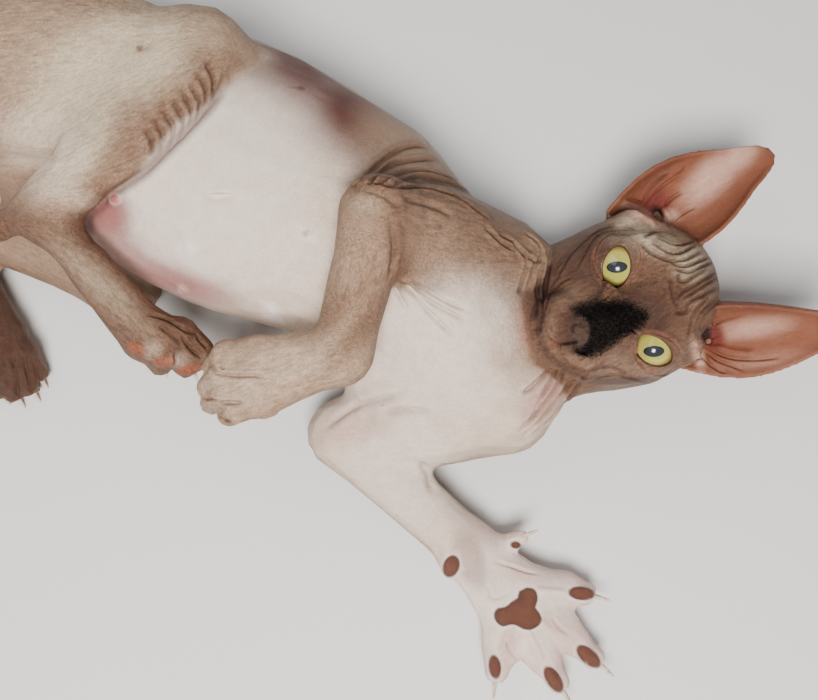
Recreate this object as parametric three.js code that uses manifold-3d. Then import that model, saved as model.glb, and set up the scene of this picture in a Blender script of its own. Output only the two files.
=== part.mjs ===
// A sphynx cat at life size, lying back on its left side with its belly, throat and face turned up.
// Millimetres, +Z up, the floor at z = 0, +X from the rump to the head.
import * as THREE from "three";
import { mergeVertices } from "three/addons/utils/BufferGeometryUtils.js";
import Module from "manifold-3d";

const wasm = await Module();
wasm.setup();

// Driving sizes
const GAP = 0.3; // between two touching pieces
const FLOOR = 0;
const HEAD_SCALE = 1.04; // of the head sizes below, which are for a head 80 wide
const EYE_RADIUS = 11;
const EYE_OUT = 20; // from the middle of the face to an eye's centre
const EYE_SLANT = 0.34; // of the openings, outer corner up
const EYE_BACK = 9.6; // of an eye's centre behind the corneas
const EAR_LENGTH = 86; // with EAR_SUNK of it inside the head
const EAR_SUNK = 8;
const EAR_WIDTH = 41;
const EAR_THICK = 1.7;
const TAIL_LENGTH = 225;
const TAIL_ROOT_RADIUS = 10.5;
const TAIL_TIP_RADIUS = 3.2;
const TOE_RADIUS = 5.9;
const CLAW_LENGTH = 8.5;
const CLAW_RADIUS = 1.3;

// Mesh cells, finer where the forms are smaller, and the faces left when each mesh has been thinned
const TRUNK = { cell: 5.6, faces: 1500 };
const HEAD = { cell: 1.8, faces: 3200 };
const THIGH = { cell: 4.4, faces: 760 };
const HIND_FOOT = { cell: 2.3, faces: 700 };
const ARM = { cell: 3.8, faces: 660 };
const FOREPAW = { cell: 2.2, faces: 780 };
// When cuts are cleaned: square millimetres of face times square millimetres of shift
const SLIVER_COST = 0.01;
const SINK = 2; // of the trunk under a limb's fillet, so that the fillet ends in a clean edge

// Joints of the skeleton in this pose
const JOINT = {
  hipRight: [-197, 143, 72],
  kneeRight: [-98, 132, 90],
  hockRight: [-164, 55, 84],
  heelRight: [-187, 49, 80],
  ballRight: [-122, 4, 62.5],
  hipLeft: [-198, 122, 32],
  kneeLeft: [-146, 42, 21],
  hockLeft: [-242, 77, 17],
  heelLeft: [-258, 75, 13],
  ballLeft: [-213, 12, 13],
  shoulderRight: [40, 44, 50],
  elbowRight: [-13, 46, 108],
  wristRight: [-30, -9, 84],
  knuckleRight: [-66, -17, 71],
  shoulderLeft: [46, -24, 32],
  elbowLeft: [-33, -36, 19],
  wristLeft: [29, -92, 15],
  knuckleLeft: [56, -122, 10],
};

// The head's own axes: to the cat's right, up to the crown, and forward to the nose
const HEAD_ORIGIN = new THREE.Vector3(103.8, 15.4, 68);
const HEAD_RIGHT = new THREE.Vector3(-0.417, 0.869, 0.266).normalize();
const HEAD_UP = new THREE.Vector3(0.883, 0.318, 0.344).normalize();
const HEAD_FORWARD = new THREE.Vector3(-0.214, -0.379, 0.901).normalize();

// Fields: each function gives the distance from a point to a form, negative inside it
const sub = (a, b) => [a[0] - b[0], a[1] - b[1], a[2] - b[2]];
const dot = (a, b) => a[0] * b[0] + a[1] * b[1] + a[2] * b[2];
const unit = (a) => {
  const size = Math.hypot(...a);
  return a.map((value) => value / size);
};
const along = (a, b, share) => a.map((value, i) => value + (b[i] - value) * share);
const shift = (a, direction, length) => a.map((value, i) => value + direction[i] * length);

// A tapered limb from a to b, its section pressed flat along the flat axis to the given share
function limb(a, b, radiusA, radiusB, flatAxis = null, flatShare = 1) {
  const ab = sub(b, a);
  const lengthSquared = dot(ab, ab);
  const axis = flatAxis ? unit(flatAxis) : null;
  return (p) => {
    const pa = sub(p, a);
    const t = Math.min(1, Math.max(0, dot(pa, ab) / lengthSquared));
    let q = sub(pa, [ab[0] * t, ab[1] * t, ab[2] * t]);
    if (axis) q = shift(q, axis, dot(q, axis) * (1 / flatShare - 1));
    const d = Math.hypot(q[0], q[1], q[2]) - (radiusA + (radiusB - radiusA) * t);
    return axis ? d * Math.sqrt(flatShare) : d;
  };
}

// An ellipsoid with its half sizes along three axes
function egg(centre, sizes, axes = [[1, 0, 0], [0, 1, 0], [0, 0, 1]]) {
  const [ex, ey, ez] = axes.map(unit);
  return (p) => {
    const q = sub(p, centre);
    const c = [dot(q, ex), dot(q, ey), dot(q, ez)];
    const k0 = Math.hypot(c[0] / sizes[0], c[1] / sizes[1], c[2] / sizes[2]);
    const k1 = Math.hypot(c[0] / sizes[0] ** 2, c[1] / sizes[1] ** 2, c[2] / sizes[2] ** 2);
    return k1 < 1e-9 ? -Math.min(...sizes) : (k0 * (k0 - 1)) / k1;
  };
}

function softMin(a, b, reach) {
  const h = Math.max(reach - Math.abs(a - b), 0) / reach;
  return Math.min(a, b) - (h * h * reach) / 4;
}

// Several forms flowing into each other over the given reach
const blend = (reach, ...forms) => (p) => {
  let d = forms[0](p);
  for (let i = 1; i < forms.length; i++) d = softMin(d, forms[i](p), reach);
  return d;
};
// A form with another pressed out of it
const carve = (form, tool, reach) => (p) => -softMin(-form(p), tool(p), reach);
const grow = (form, by) => (p) => form(p) - by;

// Trunk: the pelvis lies on its left side, and the chest is turned almost face up
const SPINE = unit([0.885, -0.467, 0]);
const ACROSS = unit([0.467, 0.885, 0]);
const UPWARD = [0, 0, 1];
const BODY_AXES = [SPINE, ACROSS, UPWARD];
const THORAX_AXES = [unit([0.8, -0.6, 0]), unit([0.6, 0.8, 0]), UPWARD];
const torso = blend(
  16,
  egg([-196, 133, 42], [56, 42, 43], BODY_AXES),
  egg([-111, 101, 47], [66, 65, 49], BODY_AXES),
  egg([-76, 84, 47.5], [64, 66, 50], BODY_AXES),
  egg([-34, 65, 45], [62, 59, 47.5], BODY_AXES),
  egg([4, 36.5, 43.5], [53, 45.5, 45.5], THORAX_AXES),
  egg([30, 10, 38], [35, 45, 31], THORAX_AXES),
);
const neckForm = blend(
  14,
  limb([42, 12, 32], [108, 29, 27], 27, 26),
  limb([46, 33, 36], [98, 42, 36], 15, 14),
  limb([46, -20, 30], [92, 0, 32], 14, 13),
);
const shoulderRight = limb(
  along(JOINT.shoulderRight, JOINT.elbowRight, -0.08),
  along(JOINT.shoulderRight, JOINT.elbowRight, 0.6),
  22,
  20,
);
const upperArmRight = blend(
  12,
  shoulderRight,
  limb(along(JOINT.shoulderRight, JOINT.elbowRight, 0.4), JOINT.elbowRight, 20, 15),
);
const shoulderLeft = blend(
  14,
  limb(JOINT.shoulderLeft, along(JOINT.shoulderLeft, JOINT.elbowLeft, 0.55), 24, 20),
  egg([-2, -14, 32], [40, 22, 24], THORAX_AXES),
);
const upperArmLeft = blend(
  12,
  shoulderLeft,
  limb(along(JOINT.shoulderLeft, JOINT.elbowLeft, 0.4), JOINT.elbowLeft, 20, 13),
);
const hipRight = blend(
  16,
  limb(JOINT.hipRight, along(JOINT.hipRight, JOINT.kneeRight, 0.5), 37, 27, UPWARD, 0.72),
  limb([-222, 128, 62], [-178, 112, 74], 27, 19, UPWARD, 0.8),
);
const thighRight = blend(
  16,
  hipRight,
  limb(along(JOINT.hipRight, JOINT.kneeRight, 0.4), JOINT.kneeRight, 29, 16, UPWARD, 0.78),
  limb([-190, 116, 70], [-148, 101, 82], 19, 12, UPWARD, 0.85),
  limb([-98, 131, 84], [-60, 122, 58], 17, 20),
);
const shinRight = blend(
  12,
  limb(JOINT.kneeRight, JOINT.hockRight, 17, 12, UPWARD, 0.85),
  limb([-103, 111, 89], [-127, 85, 87], 18, 15.5, UPWARD, 0.85),
  limb([-149, 80, 84], JOINT.heelRight, 7.5, 5.5),
);
const hipLeft = limb(JOINT.hipLeft, along(JOINT.hipLeft, JOINT.kneeLeft, 0.5), 32, 25);
const thighLeft = blend(
  10,
  hipLeft,
  limb(along(JOINT.hipLeft, JOINT.kneeLeft, 0.4), JOINT.kneeLeft, 26, 17),
);
const shinLeft = blend(
  12,
  limb(JOINT.kneeLeft, JOINT.hockLeft, 16.5, 10.5),
  limb([-200, 66, 19], JOINT.heelLeft, 8, 6),
);

// Feet: a flat palm with toes fanned from it, each toe bent down at its middle joint
function footForm({ heel, ball, dorsal, palmHalf, palmThick, toes, pads = [] }) {
  const flat = unit(dorsal);
  const palm = blend(
    6,
    limb(heel, ball, palmHalf[0], palmHalf[1], flat, palmThick),
    ...toes.map((toe) => limb(along(heel, toe.knuckle, 0.45), toe.knuckle, TOE_RADIUS, TOE_RADIUS + 0.6)),
  );
  const digits = toes.map((toe) =>
    blend(
      3,
      limb(toe.knuckle, toe.bend, TOE_RADIUS + 0.4, TOE_RADIUS + 0.3),
      limb(toe.bend, toe.tip, TOE_RADIUS + 0.3, TOE_RADIUS - 0.4),
    ),
  );
  const toesTogether = (p) => Math.min(...digits.map((digit) => digit(p)));
  const foot = blend(toes[0].web ?? 4, palm, toesTogether);
  return pads.length ? blend(1.5, foot, ...pads.map(({ at, size }) => egg(at, size))) : foot;
}

// Toes in a row from the thumb side to the little toe, on a hand's own axes
function toeRow({ ball, forward, side, dorsal, spread, reach, fan, drop, lift = 3, web }) {
  const [f, s, n] = [unit(forward), unit(side), unit(dorsal)];
  return spread.map((offset, i) => {
    const knuckle = shift(shift(ball, s, offset * 0.86), n, lift - Math.abs(offset) * 0.12);
    const bend = shift(shift(shift(ball, f, reach[i] * 0.58), s, offset + fan[i] * 0.5), n, lift);
    const tip = shift(shift(shift(ball, f, reach[i]), s, offset + fan[i]), n, -drop);
    return { knuckle, bend, tip, web };
  });
}

const pawRight = {
  heel: JOINT.wristRight,
  ball: JOINT.knuckleRight,
  dorsal: [-0.25, 0.1, 0.96],
  palmHalf: [13, 16],
  palmThick: 0.62,
};
pawRight.toes = toeRow({
  ball: pawRight.ball,
  forward: [-0.9, -0.12, -0.42],
  side: [0.1, -0.97, -0.2],
  dorsal: pawRight.dorsal,
  spread: [-13, -4.4, 4.4, 12.6],
  reach: [28, 32, 31, 22],
  fan: [1, 1, 0, -1],
  drop: 6,
});
const hindRight = {
  heel: JOINT.hockRight,
  ball: JOINT.ballRight,
  dorsal: [0.3, 0.35, 0.88],
  palmHalf: [10, 8.2],
  palmThick: 0.88,
};
hindRight.toes = toeRow({
  ball: hindRight.ball,
  forward: [0.87, -0.34, -0.36],
  side: [-0.5, -0.72, -0.45],
  dorsal: hindRight.dorsal,
  spread: [-6.4, -2.4, 2.6, 6.8],
  reach: [25, 26, 22.5, 11.5],
  fan: [-2, -0.4, 0.6, 0.6],
  drop: 5,
});
const hindLeft = {
  heel: JOINT.hockLeft,
  ball: JOINT.ballLeft,
  dorsal: [0, 0, 1],
  palmHalf: [10.5, 13.5],
  palmThick: 0.72,
};
hindLeft.toes = toeRow({
  ball: hindLeft.ball,
  forward: [0.5, -0.86, -0.12],
  side: [-0.86, -0.5, 0],
  dorsal: hindLeft.dorsal,
  spread: [-12, -4.2, 4, 11.5],
  reach: [24, 28, 27, 22],
  fan: [1, 0, 0, -1],
  drop: 4,
  lift: 2,
});
// The left forepaw lies palm up with its toes spread wide and the webs stretched between them
const pawLeft = {
  heel: JOINT.wristLeft,
  ball: JOINT.knuckleLeft,
  dorsal: [0, 0, -1],
  palmHalf: [13, 20],
  palmThick: 0.46,
};
const spreadToe = (knuckle, bend, tip) => ({ knuckle, bend, tip, web: 11 });
pawLeft.toes = [
  spreadToe([68, -112, 10], [78, -110.5, 9.5], [86, -113, 11]),
  spreadToe([72, -127, 10], [81, -136, 9.5], [89, -143.5, 11]),
  spreadToe([60, -133, 10], [66, -145, 9.5], [71.5, -154.5, 11]),
  spreadToe([48, -130, 10], [43.5, -140, 9.5], [42, -150, 11]),
];
pawLeft.pads = [
  { at: [20.5, -100, 17.5], size: [4.6, 5.6, 4.5] },
  { at: [46, -121, 15.2], size: [6.4, 4.6, 3.6] },
  { at: [53, -116.5, 15.2], size: [4.8, 6.6, 3.6] },
  { at: [56, -123.5, 15.2], size: [5.4, 4.4, 3.6] },
  { at: [83, -112.4, 13.4], size: [4.8, 3.4, 3.6] },
  { at: [86, -140.5, 13.2], size: [4, 4, 3.6] },
  { at: [69.6, -151, 13.2], size: [3.4, 4.8, 3.6] },
  { at: [41.8, -146.2, 13.2], size: [3.4, 4.6, 3.6] },
];
const dewclawLeft = limb([42, -92, 13], [55, -86.5, 16], 5.5, 3.6);
const dewclawRight = limb([-38, -6, 76], [-49, -1.5, 76], 5, 3.6);

// Head, in its own axes with u to the side, v up and w forward, the same on both sides
const headForms = {
  cranium: egg([0, 13, -38], [30, 26, 36]),
  forehead: egg([0, 15, -15], [19, 16, 14]),
  brow: egg([17, 13, -12], [12, 7.5, 9]),
  cheekbone: egg([22.5, -6, -23], [15, 13, 19]),
  cheek: egg([16, -18, -10.5], [14, 13.5, 15]),
  underEye: egg([20, -13, -9], [9, 8, 9]),
  sideOfHead: limb([28.5, 10, -38], [23, -15, -31], 11.5, 14.5),
  bridge: limb([0, 5, -9], [0, -14.5, 11.6], 12.5, 9.4),
  snoutSide: egg([10, -14, 0], [10, 10, 10.5]),
  muzzle: egg([0, -22, 4], [18.5, 13.5, 15.5]),
  pad: egg([8.6, -28.4, 9.8], [12, 9.6, 10.6]),
  nose: egg([0, -20.2, 18], [7.2, 4.8, 5]),
  chin: egg([0, -39.2, 4.2], [9.4, 5.6, 9.6]),
  jaw: limb([5, -36, -2], [20, -25, -30], 8, 12),
  throat: limb([0, -12, -34], [0, -26, -50], 21, 20),
  lid: egg([EYE_OUT, 0, -EYE_BACK], [EYE_RADIUS + 2.1, EYE_RADIUS + 2.3, EYE_RADIUS + 1.7]),
};
const lipGroove = blend(
  1,
  limb([0, -34.4, 20.4], [8, -37.2, 17], 1.2, 1.3),
  limb([8, -37.2, 17], [19, -35, 4], 1.3, 1.3),
);
const philtrum = limb([0, -24.8, 22.6], [0, -34, 20.8], 0.9, 1.1);
const nostril = limb([3.4, -20.4, 23.4], [6.8, -22, 20], 1.3, 1.5);
const eyeOpening = (out) => {
  // almond between two arcs, its inner corner a little lower, pushed out along the gaze
  const half = 10;
  const rise = 6.6;
  const shape = new THREE.Shape();
  shape.moveTo(-half, -2.2);
  shape.bezierCurveTo(-half * 0.82, rise * 1.24, half * 0.76, rise * 1.45, half, 1.4);
  shape.bezierCurveTo(half * 0.82, -rise * 1.3, -half * 0.74, -rise * 1.45, -half, -2.2);
  const almond = new THREE.ExtrudeGeometry(shape, { depth: 16, bevelEnabled: false, curveSegments: 9 });
  if (out < 0) almond.scale(-1, 1, 1);
  almond.rotateZ(out > 0 ? EYE_SLANT : -EYE_SLANT);
  almond.translate(out, 0, -EYE_BACK);
  return almond;
};

function headField() {
  const f = headForms;
  const side = (form) => (q) => form([Math.abs(q[0]), q[1], q[2]]);
  const skull = blend(
    9,
    f.cranium,
    f.forehead,
    side(f.brow),
    side(f.cheekbone),
    f.bridge,
    f.muzzle,
    side(f.cheek),
    side(f.underEye),
    side(f.sideOfHead),
    side(f.snoutSide),
    side(f.jaw),
    f.throat,
  );
  const faceForms = blend(3.5, skull, side(f.pad), f.nose, f.chin, side(f.lid));
  let face = carve(faceForms, side(lipGroove), 1.4);
  face = carve(face, philtrum, 1.2);
  face = carve(face, side(nostril), 0.8);
  return face;
}

const headMatrix = new THREE.Matrix4()
  .makeBasis(
    HEAD_RIGHT.clone().multiplyScalar(HEAD_SCALE),
    HEAD_UP.clone().multiplyScalar(HEAD_SCALE),
    HEAD_FORWARD.clone().multiplyScalar(HEAD_SCALE),
  )
  .setPosition(HEAD_ORIGIN);
const toHead = (p) => {
  const d = sub(p, HEAD_ORIGIN.toArray());
  return [HEAD_RIGHT, HEAD_UP, HEAD_FORWARD].map((axis) => dot(d, axis.toArray()) / HEAD_SCALE);
};
const faceField = headField();
const headInPlace = (p) => faceField(toHead(p)) * HEAD_SCALE;
const trunkForm = blend(15, torso, neckForm);
const bodyForm = blend(12, headInPlace, trunkForm);

// Lays a closed mesh over a form: one corner in each cell that the surface crosses, drawn on to it
function skinOver(openForm, [low, high], cell) {
  const middleOfBox = along(low, high, 0.5);
  const half = sub(high, middleOfBox).map((value) => value - cell * 1.2);
  const outsideBox = (p) => Math.max(...p.map((value, c) => Math.abs(value - middleOfBox[c]) - half[c]));
  const form = (p) => Math.max(openForm(p), outsideBox(p));
  const count = low.map((value, i) => Math.ceil((high[i] - value) / cell) + 1);
  const [nx, ny, nz] = count;
  const at = (i, j, k) => i + nx * (j + ny * k);
  const samples = new Float64Array(nx * ny * nz);
  const gridPoint = (i, j, k) => [low[0] + i * cell, low[1] + j * cell, low[2] + k * cell];
  // whole blocks far from the surface take the value at their middle
  const block = 4;
  for (let k0 = 0; k0 < nz; k0 += block)
    for (let j0 = 0; j0 < ny; j0 += block)
      for (let i0 = 0; i0 < nx; i0 += block) {
        const inMiddle = form(gridPoint(i0 + block / 2, j0 + block / 2, k0 + block / 2));
        const isFar = Math.abs(inMiddle) > block * cell * 2;
        for (let k = k0; k < Math.min(nz, k0 + block); k++)
          for (let j = j0; j < Math.min(ny, j0 + block); j++)
            for (let i = i0; i < Math.min(nx, i0 + block); i++)
              samples[at(i, j, k)] = isFar ? inMiddle : form(gridPoint(i, j, k));
      }
  // where two inside samples meet only across a diagonal, one outside sample beside them is filled in,
  // so that the surface never touches itself along an edge
  const strides = [1, nx, nx * ny];
  const diagonals = [];
  for (let a = 0; a < 3; a++) for (let b = a + 1; b < 3; b++) diagonals.push([strides[a], strides[b]]);
  for (let filled = true; filled; ) {
    filled = false;
    for (const [a, b] of diagonals)
      for (let n = 0; n + a + b < samples.length; n++) {
        const inside = [n, n + a, n + b, n + a + b].map((m) => samples[m] < 0);
        if (inside[0] !== inside[3] || inside[1] !== inside[2] || inside[0] === inside[1]) continue;
        const outer = inside[0] ? [n + a, n + b] : [n, n + a + b];
        const nearest = samples[outer[0]] < samples[outer[1]] ? outer[0] : outer[1];
        samples[nearest] = -0.02 * cell;
        filled = true;
      }
  }
  const positions = [];
  const cornerOf = new Map();
  const steps = [[1, 0, 0], [0, 1, 0], [0, 0, 1]];
  const gradient = (p) => {
    const h = cell * 0.05;
    return steps.map((s) => (form(shift(p, s, h)) - form(shift(p, s, -h))) / (2 * h));
  };
  for (let k = 0; k < nz - 1; k++)
    for (let j = 0; j < ny - 1; j++)
      for (let i = 0; i < nx - 1; i++) {
        let sum = [0, 0, 0];
        let crossings = 0;
        steps.forEach((s, axis) => {
          const [a, b] = [(axis + 1) % 3, (axis + 2) % 3];
          for (let m = 0; m < 4; m++) {
            const from = [i, j, k];
            from[a] += m & 1;
            from[b] += m >> 1;
            const v0 = samples[at(...from)];
            const v1 = samples[at(from[0] + s[0], from[1] + s[1], from[2] + s[2])];
            if (v0 < 0 === v1 < 0) continue;
            sum = sum.map((value, c) => value + from[c] + (s[c] * v0) / (v0 - v1));
            crossings++;
          }
        });
        if (!crossings) continue;
        let p = sum.map((value, c) => low[c] + (value / crossings) * cell);
        const home = p;
        for (let pass = 0; pass < 2; pass++) {
          const g = gradient(p);
          const size = Math.max(dot(g, g), 0.05);
          p = shift(p, g, -form(p) / size);
        }
        const limit = cell * 0.45;
        p = p.map((value, c) => Math.min(home[c] + limit, Math.max(home[c] - limit, value)));
        cornerOf.set(at(i, j, k), positions.length / 3);
        positions.push(...p);
      }
  const faces = [];
  const far = (a, b) => Math.hypot(...[0, 1, 2].map((c) => positions[3 * a + c] - positions[3 * b + c]));
  for (let k = 1; k < nz - 1; k++)
    for (let j = 1; j < ny - 1; j++)
      for (let i = 1; i < nx - 1; i++)
        steps.forEach((s, axis) => {
          const v0 = samples[at(i, j, k)];
          const v1 = samples[at(i + s[0], j + s[1], k + s[2])];
          if (v0 < 0 === v1 < 0) return;
          const a = steps[(axis + 1) % 3];
          const b = steps[(axis + 2) % 3];
          const around = [[0, 0], [1, 0], [1, 1], [0, 1]].map(([m, n]) =>
            cornerOf.get(at(i - m * a[0] - n * b[0], j - m * a[1] - n * b[1], k - m * a[2] - n * b[2])),
          );
          if (v0 >= 0) around.reverse();
          const [p, q, r, t] = around;
          if (far(p, r) < far(q, t)) faces.push(p, q, r, p, r, t);
          else faces.push(p, q, t, q, r, t);
        });
  const geometry = new THREE.BufferGeometry();
  geometry.setAttribute("position", new THREE.Float32BufferAttribute(positions, 3));
  geometry.setIndex(faces);
  return geometry;
}

// Thins a closed mesh: joins the two ends of whichever edge changes the surface least, again and again,
// so that flat parts end up with large faces and lids, lips and toes keep small ones
function thin(geometry, faceGoal, costLimit = Infinity) {
  const source = geometry.getAttribute("position");
  const index = geometry.getIndex().array;
  const triples = (count, get) =>
    Array.from({ length: count }, (_, i) => [get(i, 0), get(i, 1), get(i, 2)]);
  const points = triples(source.count, (i, c) => source.getComponent(i, c));
  const faces = triples(index.length / 3, (i, c) => index[3 * i + c]);
  const facesAt = points.map(() => new Set());
  const quadrics = points.map(() => new Float64Array(10));
  const stamps = new Uint32Array(points.length);
  const crossOf = (a, b, c) => {
    const [u, v] = [sub(b, a), sub(c, a)];
    return [u[1] * v[2] - u[2] * v[1], u[2] * v[0] - u[0] * v[2], u[0] * v[1] - u[1] * v[0]];
  };
  faces.forEach((face, f) => {
    const n = crossOf(...face.map((v) => points[v]));
    const area = Math.hypot(...n) || 1e-12;
    const [a, b, c] = n.map((value) => value / area);
    const d = -(a * points[face[0]][0] + b * points[face[0]][1] + c * points[face[0]][2]);
    const terms = [a * a, a * b, a * c, a * d, b * b, b * c, b * d, c * c, c * d, d * d];
    face.forEach((v) => {
      facesAt[v].add(f);
      terms.forEach((term, i) => (quadrics[v][i] += term * area));
    });
  });
  const errorAt = (q, [x, y, z]) =>
    q[0] * x * x + 2 * q[1] * x * y + 2 * q[2] * x * z + 2 * q[3] * x + q[4] * y * y +
    2 * q[5] * y * z + 2 * q[6] * y + q[7] * z * z + 2 * q[8] * z + q[9];
  const bestPoint = (q, a, b) => {
    const rows = [[q[0], q[1], q[2]], [q[1], q[4], q[5]], [q[2], q[5], q[7]]];
    const right = [-q[3], -q[6], -q[8]];
    const det = (m) =>
      m[0][0] * (m[1][1] * m[2][2] - m[1][2] * m[2][1]) -
      m[0][1] * (m[1][0] * m[2][2] - m[1][2] * m[2][0]) +
      m[0][2] * (m[1][0] * m[2][1] - m[1][1] * m[2][0]);
    const whole = det(rows);
    const middle = along(a, b, 0.5);
    const scale = q[0] + q[4] + q[7];
    if (Math.abs(whole) > 1e-4 * scale ** 3) {
      const withColumn = (c) => rows.map((row, r) => row.map((value, k) => (k === c ? right[r] : value)));
      const best = [0, 1, 2].map((c) => det(withColumn(c)) / whole);
      if (Math.hypot(...sub(best, middle)) < Math.hypot(...sub(a, b))) return best;
    }
    return [middle, a, b].reduce((x, y) => (errorAt(q, x) <= errorAt(q, y) ? x : y));
  };
  const heap = [];
  const swap = (i, j) => ([heap[i], heap[j]] = [heap[j], heap[i]]);
  const push = (entry) => {
    heap.push(entry);
    let i = heap.length - 1;
    while (i > 0 && heap[i].cost < heap[(i - 1) >> 1].cost) {
      swap(i, (i - 1) >> 1);
      i = (i - 1) >> 1;
    }
  };
  const pop = () => {
    const top = heap[0];
    const last = heap.pop();
    if (heap.length) heap[0] = last;
    for (let i = 0; ; ) {
      const [left, right] = [2 * i + 1, 2 * i + 2];
      let least = i;
      if (left < heap.length && heap[left].cost < heap[least].cost) least = left;
      if (right < heap.length && heap[right].cost < heap[least].cost) least = right;
      if (least === i) return top;
      swap(i, least);
      i = least;
    }
  };
  const weigh = (a, b) => {
    const q = quadrics[a].map((value, i) => value + quadrics[b][i]);
    const point = bestPoint(q, points[a], points[b]);
    const length = Math.hypot(...sub(points[a], points[b]));
    const cost = Math.max(0, errorAt(q, point)) + 1e-5 * length ** 3;
    push({ cost, a, b, point, stamp: stamps[a] + stamps[b] });
  };
  const neighbours = (v) => new Set([...facesAt[v]].flatMap((f) => faces[f]).filter((w) => w !== v));
  faces.forEach(([a, b, c]) => [[a, b], [b, c], [c, a]].forEach(([v, w]) => v < w && weigh(v, w)));
  let count = faces.length;
  while (count > faceGoal && heap.length) {
    const { cost, a, b, point, stamp } = pop();
    if (cost > costLimit) break;
    if (!points[a] || !points[b] || stamp !== stamps[a] + stamps[b]) continue;
    const nextToB = neighbours(b);
    if (!nextToB.has(a)) continue;
    const shared = [...neighbours(a)].filter((v) => nextToB.has(v));
    if (shared.length !== 2) continue;
    const turned = [a, b].some((v) =>
      [...facesAt[v]].some((f) => {
        const face = faces[f];
        if (face.includes(a) && face.includes(b)) return false;
        const before = crossOf(...face.map((w) => points[w]));
        const after = crossOf(...face.map((w) => (w === v ? point : points[w])));
        return dot(before, after) < 0.35 * Math.hypot(...before) * Math.hypot(...after);
      }),
    );
    if (turned) continue;
    for (const f of [...facesAt[b]]) {
      if (faces[f].includes(a)) {
        faces[f].forEach((v) => facesAt[v].delete(f));
        faces[f] = null;
        count--;
      } else {
        faces[f] = faces[f].map((v) => (v === b ? a : v));
        facesAt[a].add(f);
      }
    }
    quadrics[b].forEach((value, i) => (quadrics[a][i] += value));
    points[a] = point;
    points[b] = null;
    stamps[a]++;
    stamps[b]++;
    neighbours(a).forEach((v) => weigh(Math.min(a, v), Math.max(a, v)));
  }
  const kept = new Map();
  const positions = [];
  const order = faces.filter(Boolean).flat();
  for (const v of order) {
    if (kept.has(v)) continue;
    kept.set(v, positions.length / 3);
    positions.push(...points[v]);
  }
  const thinned = new THREE.BufferGeometry();
  thinned.setAttribute("position", new THREE.Float32BufferAttribute(positions, 3));
  thinned.setIndex(order.map((v) => kept.get(v)));
  return thinned;
}

// The same mesh with every corner moved out along its normal
function lifted(geometry, by) {
  const copy = geometry.clone();
  copy.computeVertexNormals();
  const [position, normal] = [copy.getAttribute("position"), copy.getAttribute("normal")];
  for (let i = 0; i < position.count; i++)
    position.setXYZ(
      i,
      position.getX(i) + normal.getX(i) * by,
      position.getY(i) + normal.getY(i) * by,
      position.getZ(i) + normal.getZ(i) * by,
    );
  return copy;
}

// Closed solids, joined and cut
function solid(geometry) {
  const bare = new THREE.BufferGeometry();
  bare.setAttribute("position", geometry.getAttribute("position"));
  bare.setIndex(geometry.getIndex());
  const merged = mergeVertices(bare, 1e-4);
  const made = new wasm.Manifold(
    new wasm.Mesh({
      numProp: 3,
      vertProperties: new Float32Array(merged.getAttribute("position").array),
      triVerts: new Uint32Array(merged.getIndex().array),
    }),
  );
  return made;
}
const largest = (form) => form.decompose().reduce((a, b) => (a.volume() > b.volume() ? a : b));

// All that lies on the far side of a plane, as a large block whose near face is the plane
function beyond(point, normal, size = 900) {
  const block = new THREE.BoxGeometry(size, size, size);
  block.translate(0, 0, size / 2);
  const target = new THREE.Vector3(...unit(normal));
  const turn = new THREE.Quaternion().setFromUnitVectors(new THREE.Vector3(0, 0, 1), target);
  block.applyQuaternion(turn);
  block.translate(...point);
  return solid(block);
}
// Parts a solid at a plane, leaving half the gap on each side
const keepBeyond = (form, point, normal) =>
  form.intersect(beyond(shift(point, unit(normal), GAP / 2), normal));
const opposite = (a) => a.map((value) => -value);

// A claw: a slender cone bent down towards its tip
function claw(root, direction, down) {
  const rings = 4;
  const sides = 6;
  const f = unit(direction);
  const d = unit(down);
  const path = new THREE.QuadraticBezierCurve3(
    new THREE.Vector3(...root),
    new THREE.Vector3(...shift(root, f, CLAW_LENGTH * 0.62)),
    new THREE.Vector3(...shift(shift(root, f, CLAW_LENGTH * 0.95), d, CLAW_LENGTH * 0.42)),
  );
  const cone = new THREE.ConeGeometry(CLAW_RADIUS, 1, sides, rings, false).toNonIndexed();
  const position = cone.getAttribute("position");
  const frames = path.computeFrenetFrames(rings, false);
  for (let i = 0; i < position.count; i++) {
    const share = Math.min(1, Math.max(0, position.getY(i) + 0.5));
    const ring = Math.round(share * rings);
    const centre = path.getPointAt(share);
    centre.addScaledVector(frames.normals[ring], position.getX(i));
    centre.addScaledVector(frames.binormals[ring], position.getZ(i));
    position.setXYZ(i, centre.x, centre.y, centre.z);
  }
  const bare = new THREE.BufferGeometry().setAttribute("position", position);
  const made = solid(mergeVertices(bare, 1e-4));
  return made.volume() < 0 ? solid(flipped(mergeVertices(bare, 1e-4))) : made;
}
function flipped(geometry) {
  const index = Array.from(geometry.getIndex().array);
  for (let i = 0; i < index.length; i += 3) [index[i + 1], index[i + 2]] = [index[i + 2], index[i + 1]];
  geometry.setIndex(index);
  return geometry;
}
const withClaws = (foot, form, down) =>
  foot.toes.reduce((whole, toe) => {
    const reach = unit(sub(toe.tip, toe.bend));
    const root = shift(shift(toe.tip, reach, TOE_RADIUS - 3.2), down, -1.2);
    return whole.add(claw(root, shift(reach, down, -0.1), down));
  }, form);

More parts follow.
